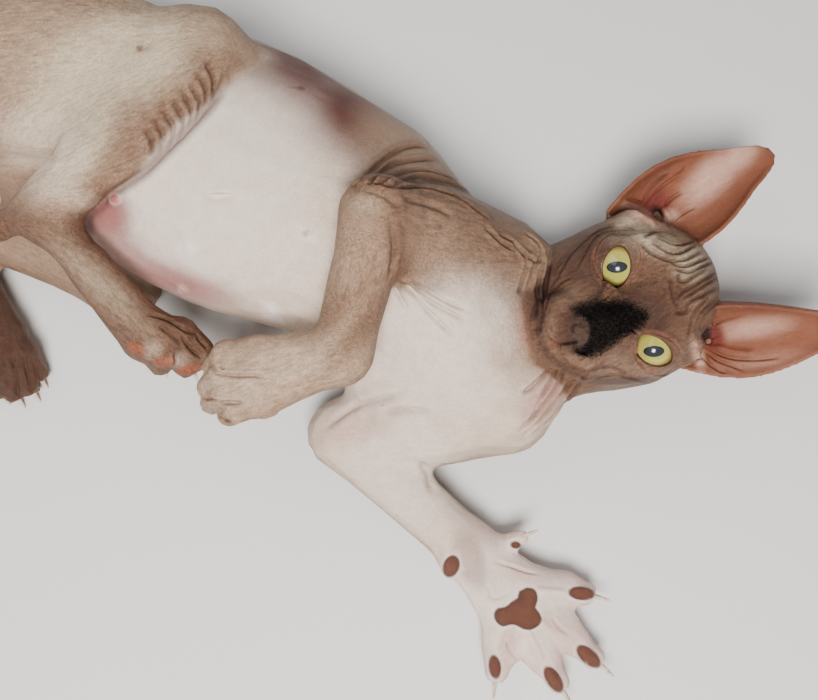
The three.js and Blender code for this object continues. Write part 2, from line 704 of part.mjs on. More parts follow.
// An ear: a cup that opens forward, widest low down, with its edges rolled in and its tip round
function ear(sideSign) {
  const rows = 11;
  const columns = 10;
  const lean =
    sideSign > 0
      ? { tip: [0.11, 1, -0.37], face: [0.3, 0.36, 0.88] }
      : { tip: [-0.32, 1, 0.18], face: [-0.4, -0.3, 0.84] };
  const axis = unit(lean.tip);
  const open = unit(shift(lean.face, axis, -dot(lean.face, axis)));
  const across = unit([
    axis[1] * open[2] - axis[2] * open[1],
    axis[2] * open[0] - axis[0] * open[2],
    axis[0] * open[1] - axis[1] * open[0],
  ]);
  const root = shift([sideSign * 29, 15, -37], axis, -EAR_SUNK);
  const wall = (share, angle, inset) => {
    const taper = Math.sqrt(Math.max(0, 1 - share ** 2.6));
    const swelling = 0.8 + 0.33 * Math.sin(Math.PI * Math.min(1, share * 1.3));
    const half = (EAR_WIDTH / 2) * taper * swelling - inset;
    const depth = (19 * (1 - share) ** 0.9 + 3.5) * Math.min(1, taper * 1.3) - inset * 0.8;
    const bend = 5 * Math.sin(Math.PI * share) - 6 * share * share;
    const sideways = half * Math.sin(angle);
    const back = -depth * Math.cos(angle) ** 1.2 + bend;
    const high = share * EAR_LENGTH - inset * (share > 0.8 ? (share - 0.8) * 5 : 0);
    return shift(shift(shift(root, axis, high), across, sideways), open, back);
  };
  const positions = [];
  const place = (share, angle, inset) => positions.push(...wall(share, angle, inset)) / 3 - 1;
  const angleAt = (c) => (-Math.PI / 2 + (Math.PI * c) / columns) * 0.999;
  const shareAt = (r) => 0.996 * (1 - (1 - r / rows) ** 1.35);
  const layer = (inset) => {
    const grid = [];
    for (let r = 0; r <= rows; r++)
      grid.push(Array.from({ length: columns + 1 }, (_, c) => place(shareAt(r), angleAt(c), inset)));
    return grid;
  };
  const outer = layer(0);
  const inner = layer(EAR_THICK);
  const faces = [];
  const quad = (a, b, c, d) => faces.push(a, b, c, a, c, d);
  for (let r = 0; r < rows; r++)
    for (let c = 0; c < columns; c++) {
      quad(outer[r][c], outer[r][c + 1], outer[r + 1][c + 1], outer[r + 1][c]);
      quad(inner[r][c], inner[r + 1][c], inner[r + 1][c + 1], inner[r][c + 1]);
    }
  for (let r = 0; r < rows; r++) {
    quad(outer[r][0], outer[r + 1][0], inner[r + 1][0], inner[r][0]);
    quad(outer[r][columns], inner[r][columns], inner[r + 1][columns], outer[r + 1][columns]);
  }
  for (let c = 0; c < columns; c++) {
    quad(outer[0][c], inner[0][c], inner[0][c + 1], outer[0][c + 1]);
    quad(outer[rows][c], outer[rows][c + 1], inner[rows][c + 1], inner[rows][c]);
  }
  const cup = new THREE.BufferGeometry();
  cup.setAttribute("position", new THREE.Float32BufferAttribute(positions, 3));
  cup.setIndex(faces);
  let made = solid(cup.clone());
  if (made.volume() < 0) made = solid(flipped(cup));
  return made.transform(headMatrix.toArray());
}

// The tail lies on the floor in a slack curve and thins to its tip
function tailPath() {
  return new THREE.CatmullRomCurve3(
    [
      [-226, 146, 30],
      [-247, 148, 19],
      [-268, 138, 11],
      [-285, 118, 8.6],
      [-294, 92, 7.6],
      [-295, 62, 6.6],
      [-291, 32, 5.6],
      [-289, 4, 4.7],
      [-294, -20, 3.9],
      [-305, -38, 3],
    ].map((p) => new THREE.Vector3(...p)),
  );
}
function tail() {
  const steps = 24;
  const sides = 10;
  const path = tailPath();
  const stretch = TAIL_LENGTH / path.getLength();
  const frames = path.computeFrenetFrames(steps, false);
  const positions = [];
  for (let i = 0; i <= steps; i++) {
    const share = i / steps;
    const centre = path.getPointAt(share * Math.min(1, stretch));
    const radius = TAIL_ROOT_RADIUS + (TAIL_TIP_RADIUS - TAIL_ROOT_RADIUS) * share ** 0.75;
    for (let s = 0; s < sides; s++) {
      const turn = (2 * Math.PI * s) / sides;
      const p = centre
        .clone()
        .addScaledVector(frames.normals[i], Math.cos(turn) * radius)
        .addScaledVector(frames.binormals[i], Math.sin(turn) * radius);
      positions.push(p.x, p.y, p.z);
    }
  }
  const root = path.getPointAt(0);
  const tip = path.getPointAt(Math.min(1, stretch)).addScaledVector(path.getTangentAt(1), TAIL_TIP_RADIUS);
  positions.push(root.x, root.y, root.z, tip.x, tip.y, tip.z);
  const faces = [];
  const rootIndex = (steps + 1) * sides;
  for (let s = 0; s < sides; s++) {
    const next = (s + 1) % sides;
    for (let i = 0; i < steps; i++) {
      const a = i * sides;
      const b = a + sides;
      faces.push(a + s, a + next, b + next, a + s, b + next, b + s);
    }
    faces.push(rootIndex, next, s);
    faces.push(rootIndex + 1, steps * sides + s, steps * sides + next);
  }
  const geometry = new THREE.BufferGeometry();
  geometry.setAttribute("position", new THREE.Float32BufferAttribute(positions, 3));
  geometry.setIndex(faces);
  return solid(geometry);
}

// The trunk is laid over once and parted by planes, and the head likewise, in finer faces
const NECK_CUT = { at: [44, 14, 45], normal: unit([0.93, 0.08, 0.33]) };
const HEAD_CUT = { at: [60, 0, 54], normal: unit([0.85, 0, 0.53]) };
const RIB_CUT = { at: [-52, 74, 40], normal: SPINE };
const RUMP_CUT = { at: [-152, 118, 40], normal: SPINE };
const past = (plane) => (p) => dot(sub(p, plane.at), plane.normal);
const TRUNK_BOX = [[-272, -70, -16], [142, 190, 112]];
const HEAD_BOX = [[44, -60, -14], [180, 96, 112]];
const OVERRUN = 4; // of each mesh past the plane where it is parted
const trunkMesh = thin(
  skinOver((p) => Math.max(bodyForm(p), past(HEAD_CUT)(p) - OVERRUN), TRUNK_BOX, TRUNK.cell),
  TRUNK.faces,
);
const headMesh = thin(
  skinOver((p) => Math.max(bodyForm(p), -past(HEAD_CUT)(p) - OVERRUN), HEAD_BOX, HEAD.cell),
  HEAD.faces,
);
const trunk = solid(trunkMesh);
const trunkGuard = solid(lifted(trunkMesh, GAP * 1.15));
const headGuard = solid(lifted(headMesh, GAP * 1.15));

const floorUp = beyond([0, 0, FLOOR], UPWARD);
const settle = (form) => largest(form.intersect(floorUp));
const cutBy = (form, ...guards) => guards.reduce((left, guard) => left.subtract(guard), form);
const before = (form, plane) => keepBeyond(form, plane.at, opposite(plane.normal));
const after = (form, plane) => keepBeyond(form, plane.at, plane.normal);

const chest = before(after(trunk, RIB_CUT), NECK_CUT);
const belly = before(after(trunk, RUMP_CUT), RIB_CUT);
const rump = before(trunk, RUMP_CUT);
const neck = before(after(trunk, NECK_CUT), HEAD_CUT);
let head = after(solid(headMesh), HEAD_CUT);

const eyes = {};
for (const [side, sign] of [["right", 1], ["left", -1]]) {
  const ball = (radius) => {
    const sphere = new THREE.SphereGeometry(radius, 15, 10);
    sphere.translate(sign * EYE_OUT, 0, -EYE_BACK);
    return solid(sphere).transform(headMatrix.toArray());
  };
  eyes[side] = ball(EYE_RADIUS);
  let opening = solid(mergeVertices(bareOf(eyeOpening(sign * EYE_OUT)), 1e-4));
  if (opening.volume() < 0) {
    opening = solid(flipped(mergeVertices(bareOf(eyeOpening(sign * EYE_OUT)), 1e-4)));
  }
  head = head.subtract(ball(EYE_RADIUS + GAP)).subtract(opening.transform(headMatrix.toArray()));
}
function bareOf(geometry) {
  const flat = geometry.index ? geometry.toNonIndexed() : geometry;
  return new THREE.BufferGeometry().setAttribute("position", flat.getAttribute("position"));
}

const earRight = largest(ear(1).subtract(headGuard));
const earLeft = largest(ear(-1).subtract(headGuard));

// A leg: its upper part flows from the trunk, and it is parted at the knee or elbow and above the foot
const sunkTrunk = grow(trunkForm, -SINK);
function leg(plan) {
  const { root, upper, lower, foot, extra, fillet, web, lowerSide, footCut, avoid = [] } = plan;
  const footShape = extra ? blend(4, footForm(foot), extra) : footForm(foot);
  const form = blend(web, upper, blend(8, lower, footShape));
  const flare = blend(fillet, sunkTrunk, root);
  const legForm = (p) => Math.min(form(p), Math.max(flare(p), root(p) - fillet));
  const toFoot = past(footCut);
  const overFoot = (p) => Math.max(legForm(p), toFoot(p) - OVERRUN);
  const underCut = (p) => Math.max(form(p), -toFoot(p) - OVERRUN);
  const legMesh = thin(skinOver(overFoot, plan.box, plan.sizes.cell), plan.sizes.faces);
  const footMesh = thin(skinOver(underCut, plan.footBox, plan.footSizes.cell), plan.footSizes.faces);
  const guards = [trunkGuard, headGuard, ...avoid];
  const aboveFoot = before(cutBy(solid(legMesh), ...guards), footCut);
  const lowerBlock = (by) =>
    lowerSide
      .map((plane) => beyond(shift(plane.at, plane.normal, by), plane.normal))
      .reduce((a, b) => a.intersect(b));
  return {
    upper: aboveFoot.subtract(lowerBlock(-GAP / 2)),
    lower: aboveFoot.intersect(lowerBlock(GAP / 2)),
    foot: after(cutBy(solid(footMesh), ...guards), footCut),
    guard: solid(lifted(legMesh, GAP * 1.15)),
  };
}
const legRight = leg({
  root: hipRight,
  upper: thighRight,
  lower: shinRight,
  foot: hindRight,
  fillet: 16,
  web: 14,
  box: [[-268, -4, 16], [-34, 204, 134]],
  footBox: [[-212, -36, 26], [-66, 96, 112]],
  sizes: THIGH,
  footSizes: HIND_FOOT,
  lowerSide: [{ at: [-140, 110, 88], normal: unit([0.27, -0.91, 0.1]) }],
  footCut: { at: [-166, 58, 84], normal: unit([0, -0.95, -0.32]) },
});
const legLeft = leg({
  root: hipLeft,
  upper: thighLeft,
  lower: shinLeft,
  foot: hindLeft,
  fillet: 12,
  web: 12,
  box: [[-282, 16, -16], [-106, 176, 82]],
  footBox: [[-276, -40, -12], [-176, 98, 44]],
  sizes: THIGH,
  footSizes: HIND_FOOT,
  lowerSide: [{ at: [-154, 44, 21], normal: unit([-0.42, -0.88, -0.2]) }],
  avoid: [legRight.guard],
  footCut: { at: [-240, 72, 16], normal: unit([-0.68, -0.735, 0]) },
});
const armRight = leg({
  root: shoulderRight,
  upper: upperArmRight,
  lower: limb(JOINT.elbowRight, JOINT.wristRight, 15.5, 12.5),
  foot: pawRight,
  extra: dewclawRight,
  fillet: 18,
  web: 9,
  box: [[-80, -46, 20], [110, 104, 132]],
  footBox: [[-116, -60, 30], [2, 34, 112]],
  sizes: ARM,
  footSizes: FOREPAW,
  lowerSide: [
    { at: [-13, 36, 105], normal: unit([-0.35, -0.93, 0]) },
    { at: [4, 17, 100], normal: unit([-1, 0.1, 0]) },
  ],
  footCut: { at: [-32, 3, 86], normal: unit([-0.3, -0.93, -0.1]) },
});
const armLeft = leg({
  root: shoulderLeft,
  upper: upperArmLeft,
  lower: limb(JOINT.elbowLeft, JOINT.wristLeft, 16.5, 12.5),
  foot: pawLeft,
  extra: dewclawLeft,
  fillet: 16,
  web: 9,
  box: [[-68, -128, -16], [104, 40, 86]],
  footBox: [[0, -172, -10], [110, -66, 38]],
  sizes: ARM,
  footSizes: FOREPAW,
  lowerSide: [{ at: [-30, -44, 18], normal: unit([-0.1, -0.97, -0.22]) }],
  footCut: { at: [22, -88, 15], normal: unit([0.74, -0.67, 0]) },
});

const down = {
  forepawRight: [-0.2, 0, -0.98],
  hindRight: [-0.2, -0.4, -0.88],
  hindLeft: [0, 0, -1],
  forepawLeft: [0, 0, 1],
};
const tailWhole = cutBy(tail(), trunkGuard);
const tailCuts = [
  { at: [-285, 118, 8], normal: [-0.5, -0.86, 0] },
  { at: [-291, 32, 6], normal: [0.1, -1, 0] },
];

const pastTailBase = keepBeyond(tailWhole, tailCuts[0].at, tailCuts[0].normal);

const pieces = {
  head: settle(head),
  ear_right: earRight,
  ear_left: earLeft,
  eye_right: eyes.right,
  eye_left: eyes.left,
  neck: settle(neck),
  chest: settle(chest),
  belly: settle(belly),
  rump: settle(rump),
  upper_arm_right: settle(armRight.upper),
  forearm_right: settle(armRight.lower),
  forepaw_right: settle(withClaws(pawRight, armRight.foot, down.forepawRight)),
  upper_arm_left: settle(armLeft.upper),
  forearm_left: settle(armLeft.lower),
  forepaw_left: settle(withClaws(pawLeft, armLeft.foot, down.forepawLeft)),
  thigh_right: settle(legRight.upper),
  shin_right: settle(legRight.lower),
  hind_foot_right: settle(withClaws(hindRight, legRight.foot, down.hindRight)),
  thigh_left: settle(legLeft.upper),
  shin_left: settle(legLeft.lower),
  hind_foot_left: settle(withClaws(hindLeft, legLeft.foot, down.hindLeft)),
  tail_base: settle(keepBeyond(tailWhole, tailCuts[0].at, opposite(tailCuts[0].normal))),
  tail_middle: settle(
    keepBeyond(pastTailBase, tailCuts[1].at, opposite(tailCuts[1].normal)),
  ),
  tail_tip: settle(keepBeyond(tailWhole, tailCuts[1].at, tailCuts[1].normal)),
};

// Colours: pale under the body, brown on its outer sides, redder in the ears
const COLOUR = {
  head: 0xa08670,
  ear_right: 0xb07f6a,
  ear_left: 0xa46f5b,
  eye_right: 0xc8bf4a,
  eye_left: 0xc8bf4a,
  neck: 0xb9a395,
  chest: 0xc4b2a6,
  belly: 0xd2bfb4,
  rump: 0xb49e8c,
  upper_arm_right: 0xa8937f,
  forearm_right: 0xa08c7a,
  forepaw_right: 0xa89383,
  upper_arm_left: 0xcdb9ac,
  forearm_left: 0xcbb6aa,
  forepaw_left: 0xd0b2a6,
  thigh_right: 0xa8947f,
  shin_right: 0xa48d7a,
  hind_foot_right: 0xa08975,
  thigh_left: 0xb8a292,
  shin_left: 0xac9685,
  hind_foot_left: 0xa68f7d,
  tail_base: 0xae9885,
  tail_middle: 0xab9582,
  tail_tip: 0xa8927f,
};
const materialOf = (name) =>
  new THREE.MeshStandardMaterial({
    name: `${name}_finish`,
    color: COLOUR[name],
    roughness: name.startsWith("eye") ? 0.1 : 0.6,
    metalness: 0,
  });

const cat = new THREE.Group();
for (const [name, form] of Object.entries(pieces)) {
  const mesh = form.getMesh();
  const cutMesh = new THREE.BufferGeometry();
  cutMesh.setAttribute("position", new THREE.BufferAttribute(new Float32Array(mesh.vertProperties), 3));
  cutMesh.setIndex(new THREE.BufferAttribute(new Uint32Array(mesh.triVerts), 1));
  const geometry = thin(cutMesh, 0, SLIVER_COST);
  const node = new THREE.Mesh(geometry, materialOf(name));
  node.name = name;
  cat.add(node);
}

// The middle of the footprint is the origin
const footprint = new THREE.Box3().setFromObject(cat);
const middle = footprint.getCenter(new THREE.Vector3());
cat.position.set(-middle.x, -middle.y, 0);

export default cat;
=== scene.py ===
import math

import bpy
import numpy as np
from mathutils import Matrix, Vector
from mathutils.bvhtree import BVHTree


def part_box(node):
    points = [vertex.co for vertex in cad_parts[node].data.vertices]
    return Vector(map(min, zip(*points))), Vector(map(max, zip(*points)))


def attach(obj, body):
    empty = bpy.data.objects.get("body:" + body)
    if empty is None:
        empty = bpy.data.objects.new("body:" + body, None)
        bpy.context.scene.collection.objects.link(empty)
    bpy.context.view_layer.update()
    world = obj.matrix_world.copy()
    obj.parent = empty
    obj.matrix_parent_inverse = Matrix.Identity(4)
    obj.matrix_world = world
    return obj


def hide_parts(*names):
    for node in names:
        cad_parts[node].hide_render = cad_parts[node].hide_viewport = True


# A hairless sphynx cat at life size, lying back on its left side on a plain pale floor
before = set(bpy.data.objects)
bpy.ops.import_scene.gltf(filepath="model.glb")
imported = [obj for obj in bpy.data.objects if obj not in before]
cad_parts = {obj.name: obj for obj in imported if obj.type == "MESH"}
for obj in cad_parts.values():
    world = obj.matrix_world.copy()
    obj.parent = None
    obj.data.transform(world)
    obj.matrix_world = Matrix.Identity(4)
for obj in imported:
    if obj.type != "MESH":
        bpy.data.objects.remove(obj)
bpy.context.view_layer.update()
mm = 0.001

# Places: the part is drawn in its own millimetres, with the right eye at this point
eyeAsDrawn = Vector((97.26, 37.26, 64.54)) * mm
eyeBack = 9.6  # units from the eyes to the face's origin
eyeBoxes = {side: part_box("eye_" + side) for side in ("right", "left")}
eyeMiddles = {side: (low + high) / 2 for side, (low, high) in eyeBoxes.items()}
eyeRadius = (eyeBoxes["right"][1].z - eyeBoxes["right"][0].z) / 2
moved = eyeMiddles["right"] - eyeAsDrawn

# The head's own axes and unit: the eyes lie 20 units to each side, behind the face's origin
headRight = (eyeMiddles["right"] - eyeMiddles["left"]).normalized()
headUnit = (eyeMiddles["right"] - eyeMiddles["left"]).length / 40
headUp = Vector((0.883, 0.318, 0.344))
headUp = (headUp - headRight * headUp.dot(headRight)).normalized()
headForward = headUp.cross(headRight).normalized()
headOrigin = (eyeMiddles["right"] + eyeMiddles["left"]) / 2 + headForward * eyeBack * headUnit


def drawn(x, y, z):
    return Vector((x, y, z)) * mm + moved


def inHead(u, v, w):
    return headOrigin + (headRight * u + headUp * v + headForward * w) * headUnit


# Camera: it looks down from above the belly, tilted 12 degrees towards the feet
view = {"tilt": 12, "distance": 470, "height": 50, "lens": 43.66, "pixels": (818, 700), "focal": 992}
tilt = math.radians(view["tilt"])
backward = Vector((0, -math.sin(tilt), math.cos(tilt)))
upward = Vector((0, math.cos(tilt), math.sin(tilt)))
cameraPlace = drawn(0, 0, view["height"]) + backward * view["distance"] * mm
cameraData = bpy.data.cameras.new("camera")
cameraData.sensor_width = 36
cameraData.lens = view["lens"]
camera = bpy.data.objects.new("camera", cameraData)
camera.location = cameraPlace
camera.rotation_euler = (tilt, 0, 0)
bpy.context.scene.collection.objects.link(camera)
bpy.context.scene.camera = camera


def sightLine(x, y):
    across = (x - view["pixels"][0] / 2) / view["focal"]
    rise = (view["pixels"][1] / 2 - y) / view["focal"]
    return (Vector((across, 0, 0)) + upward * rise - backward).normalized()


def onPicture(points):
    # where points fall in the photograph, in its pixels
    away = points - np.array(cameraPlace)
    depth = -(away @ np.array(backward))
    across = view["pixels"][0] / 2 + view["focal"] * away[:, 0] / depth
    down = view["pixels"][1] / 2 - view["focal"] * (away @ np.array(upward)) / depth
    return np.stack([across, down], 1)


def deselectAll():
    if bpy.context.object and bpy.context.object.mode != "OBJECT":
        bpy.ops.object.mode_set(mode="OBJECT")
    bpy.ops.object.select_all(action="DESELECT")


def choose(*objects):
    deselectAll()
    for chosen in objects:
        chosen.select_set(True)
    bpy.context.view_layer.objects.active = objects[0]


def readPoints(thing):
    points = np.empty(len(thing.data.vertices) * 3)
    thing.data.vertices.foreach_get("co", points)
    return points.reshape(-1, 3)


def writePoints(thing, points):
    thing.data.vertices.foreach_set("co", points.ravel())
    thing.data.update()


def readNormals(thing):
    normals = np.empty(len(thing.data.vertices) * 3)
    thing.data.vertices.foreach_get("normal", normals)
    return normals.reshape(-1, 3)


def writeVectors(thing, name, values):
    layer = thing.data.attributes.new(name, "FLOAT_VECTOR", "POINT")
    layer.data.foreach_set("vector", values.astype(np.float32).ravel())


def smoothStep(low, high, x):
    t = np.clip((x - low) / (high - low), 0, 1)
    return t * t * (3 - 2 * t)


def nearness(points, centre, reach):
    return 1 - smoothStep(reach * 0.6, reach, np.linalg.norm(points - np.array(centre), axis=1) / mm)


print("camera placed")

# The skin: the nodes of flesh, swollen over their gaps, cast as one mesh and drawn back again
skinCast = {
    "swell": 0.95,  # millimetres, over the gaps between the trunk's nodes
    "fineSwell": 0.26,  # the same at the head, the paws and the tail
    "kept": 0.12,
    "voxel": 1.05,
    "weld": 0.00001,
    "faces": 166000,
    "most": 196000,
    "largeFace": 0.4,  # square millimetres
}
fleshNodes = sorted(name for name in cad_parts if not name.startswith("eye_"))
fineForms = {
    "head": (inHead(0, 0, -12), 74),
    "earRight": (sum(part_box("ear_right"), Vector()) / 2, 84),
    "earLeft": (sum(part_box("ear_left"), Vector()) / 2, 84),
    "leftPalm": (drawn(62, -128, 12), 58),
    "rightForepaw": (drawn(-80, -20, 66), 48),
    "rightHindFoot": (drawn(-105, 0, 60), 48),
    "leftHindFoot": (drawn(-206, -4, 12), 48),
    "tail": (drawn(-292, 30, 5), 90),
}


def fineShare(points):
    share = np.zeros(len(points))
    for centre, reach in fineForms.values():
        share = np.maximum(share, nearness(points, centre, reach))
    return share


def swellAt(points):
    return skinCast["swell"] + (skinCast["fineSwell"] - skinCast["swell"]) * fineShare(points)


def mergedCopy(name):
    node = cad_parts[name]
    copy = bpy.data.objects.new(name + "_copy", node.data.copy())
    bpy.context.scene.collection.objects.link(copy)
    choose(copy)
    bpy.ops.object.mode_set(mode="EDIT")
    bpy.ops.mesh.select_all(action="SELECT")
    bpy.ops.mesh.remove_doubles(threshold=skinCast["weld"])
    bpy.ops.mesh.normals_make_consistent(inside=False)
    bpy.ops.object.mode_set(mode="OBJECT")
    return copy


copies = []
for name in fleshNodes:
    copy = mergedCopy(name)
    corners = readPoints(copy)
    writePoints(copy, corners + readNormals(copy) * (swellAt(corners) * mm)[:, None])
    copies.append(copy)
choose(*copies)
bpy.ops.object.join()
skin = bpy.context.object
skin.name = "skin"
skin.data.name = "skin"
skin.data.remesh_voxel_size = skinCast["voxel"] * mm
skin.data.remesh_voxel_adaptivity = 0
bpy.ops.object.voxel_remesh()
print("skin cast:", len(skin.data.vertices), "points")


def neighbourTable(thing):
    edges = np.empty(len(thing.data.edges) * 2, np.int64)
    thing.data.edges.foreach_get("vertices", edges)
    edges = edges.reshape(-1, 2)
    both = np.concatenate([edges, edges[:, ::-1]])
    count = np.bincount(both[:, 0], minlength=len(thing.data.vertices))
    return both, count


def neighbourSums(values, both):
    return np.stack([np.bincount(both[:, 0], row[both[:, 1]], len(row)) for row in values.T], 1)


# each round draws the points in and out again; the shares are how much of it the finer forms take
smoothing = {"rounds": 44, "inward": 0.6, "outward": -0.61, "face": 0.1, "ears": 0.45, "feet": 0.1}


def smoothed(points, table, share, rounds):
    both, count = table
    for step in range(rounds):
        for factor in (smoothing["inward"], smoothing["outward"]):
            mean = neighbourSums(points, both) / np.maximum(count, 1)[:, None]
            points = points + (mean - points) * (factor * share)[:, None]
    return points


points = readPoints(skin)
table = neighbourTable(skin)
share = np.ones(len(points))
for name, (centre, reach) in fineForms.items():
    least = {"head": smoothing["face"], "earRight": smoothing["ears"], "earLeft": smoothing["ears"]}
    least = least.get(name, smoothing["feet"])
    share = np.minimum(share, 1 - (1 - least) * nearness(points, centre, reach))
points = smoothed(points, table, share, smoothing["rounds"])
writePoints(skin, points)
points = points - readNormals(skin) * ((swellAt(points) - skinCast["kept"]) * mm)[:, None]
writePoints(skin, points)
print("skin smoothed")

# Folds are traced over the photograph, in its pixels, and fall on the skin along the lines of sight
skinTree = BVHTree.FromObject(skin, bpy.context.evaluated_depsgraph_get())


def seen(x, y):
    hit = skinTree.ray_cast(cameraPlace, sightLine(x, y))
    return hit[0]


def curveThrough(corners, step):
    # a smooth curve through the corners, with a point at each step
    knots = [corners[0]] + corners + [corners[-1]]
    way = []
    for i in range(1, len(knots) - 2):
        a, b, c, d = (np.array(p, float) for p in knots[i - 1 : i + 3])
        pieces = max(2, int(np.linalg.norm(c - b) / step))
        for t in np.arange(pieces) / pieces:
            bend = (2 * a - 5 * b + 4 * c - d) * t**2 + (3 * b - a - 3 * c + d) * t**3
            way.append(0.5 * (2 * b + (c - a) * t + bend))
    way.append(np.array(corners[-1], float))
    return np.array(way)


def onPhoto(trace):
    # the trace's ways over the skin: it is parted where it passes from one form to another behind it
    ways = [[]]
    for x, y in curveThrough(trace, 2):
        place = seen(x, y)
        if place is None:
            continue
        if ways[-1] and np.linalg.norm(np.array(place) - ways[-1][-1]) > 6 * mm:
            ways.append([])
        ways[-1].append(np.array(place))
    return [np.array(way) for way in ways if len(way) > 1]


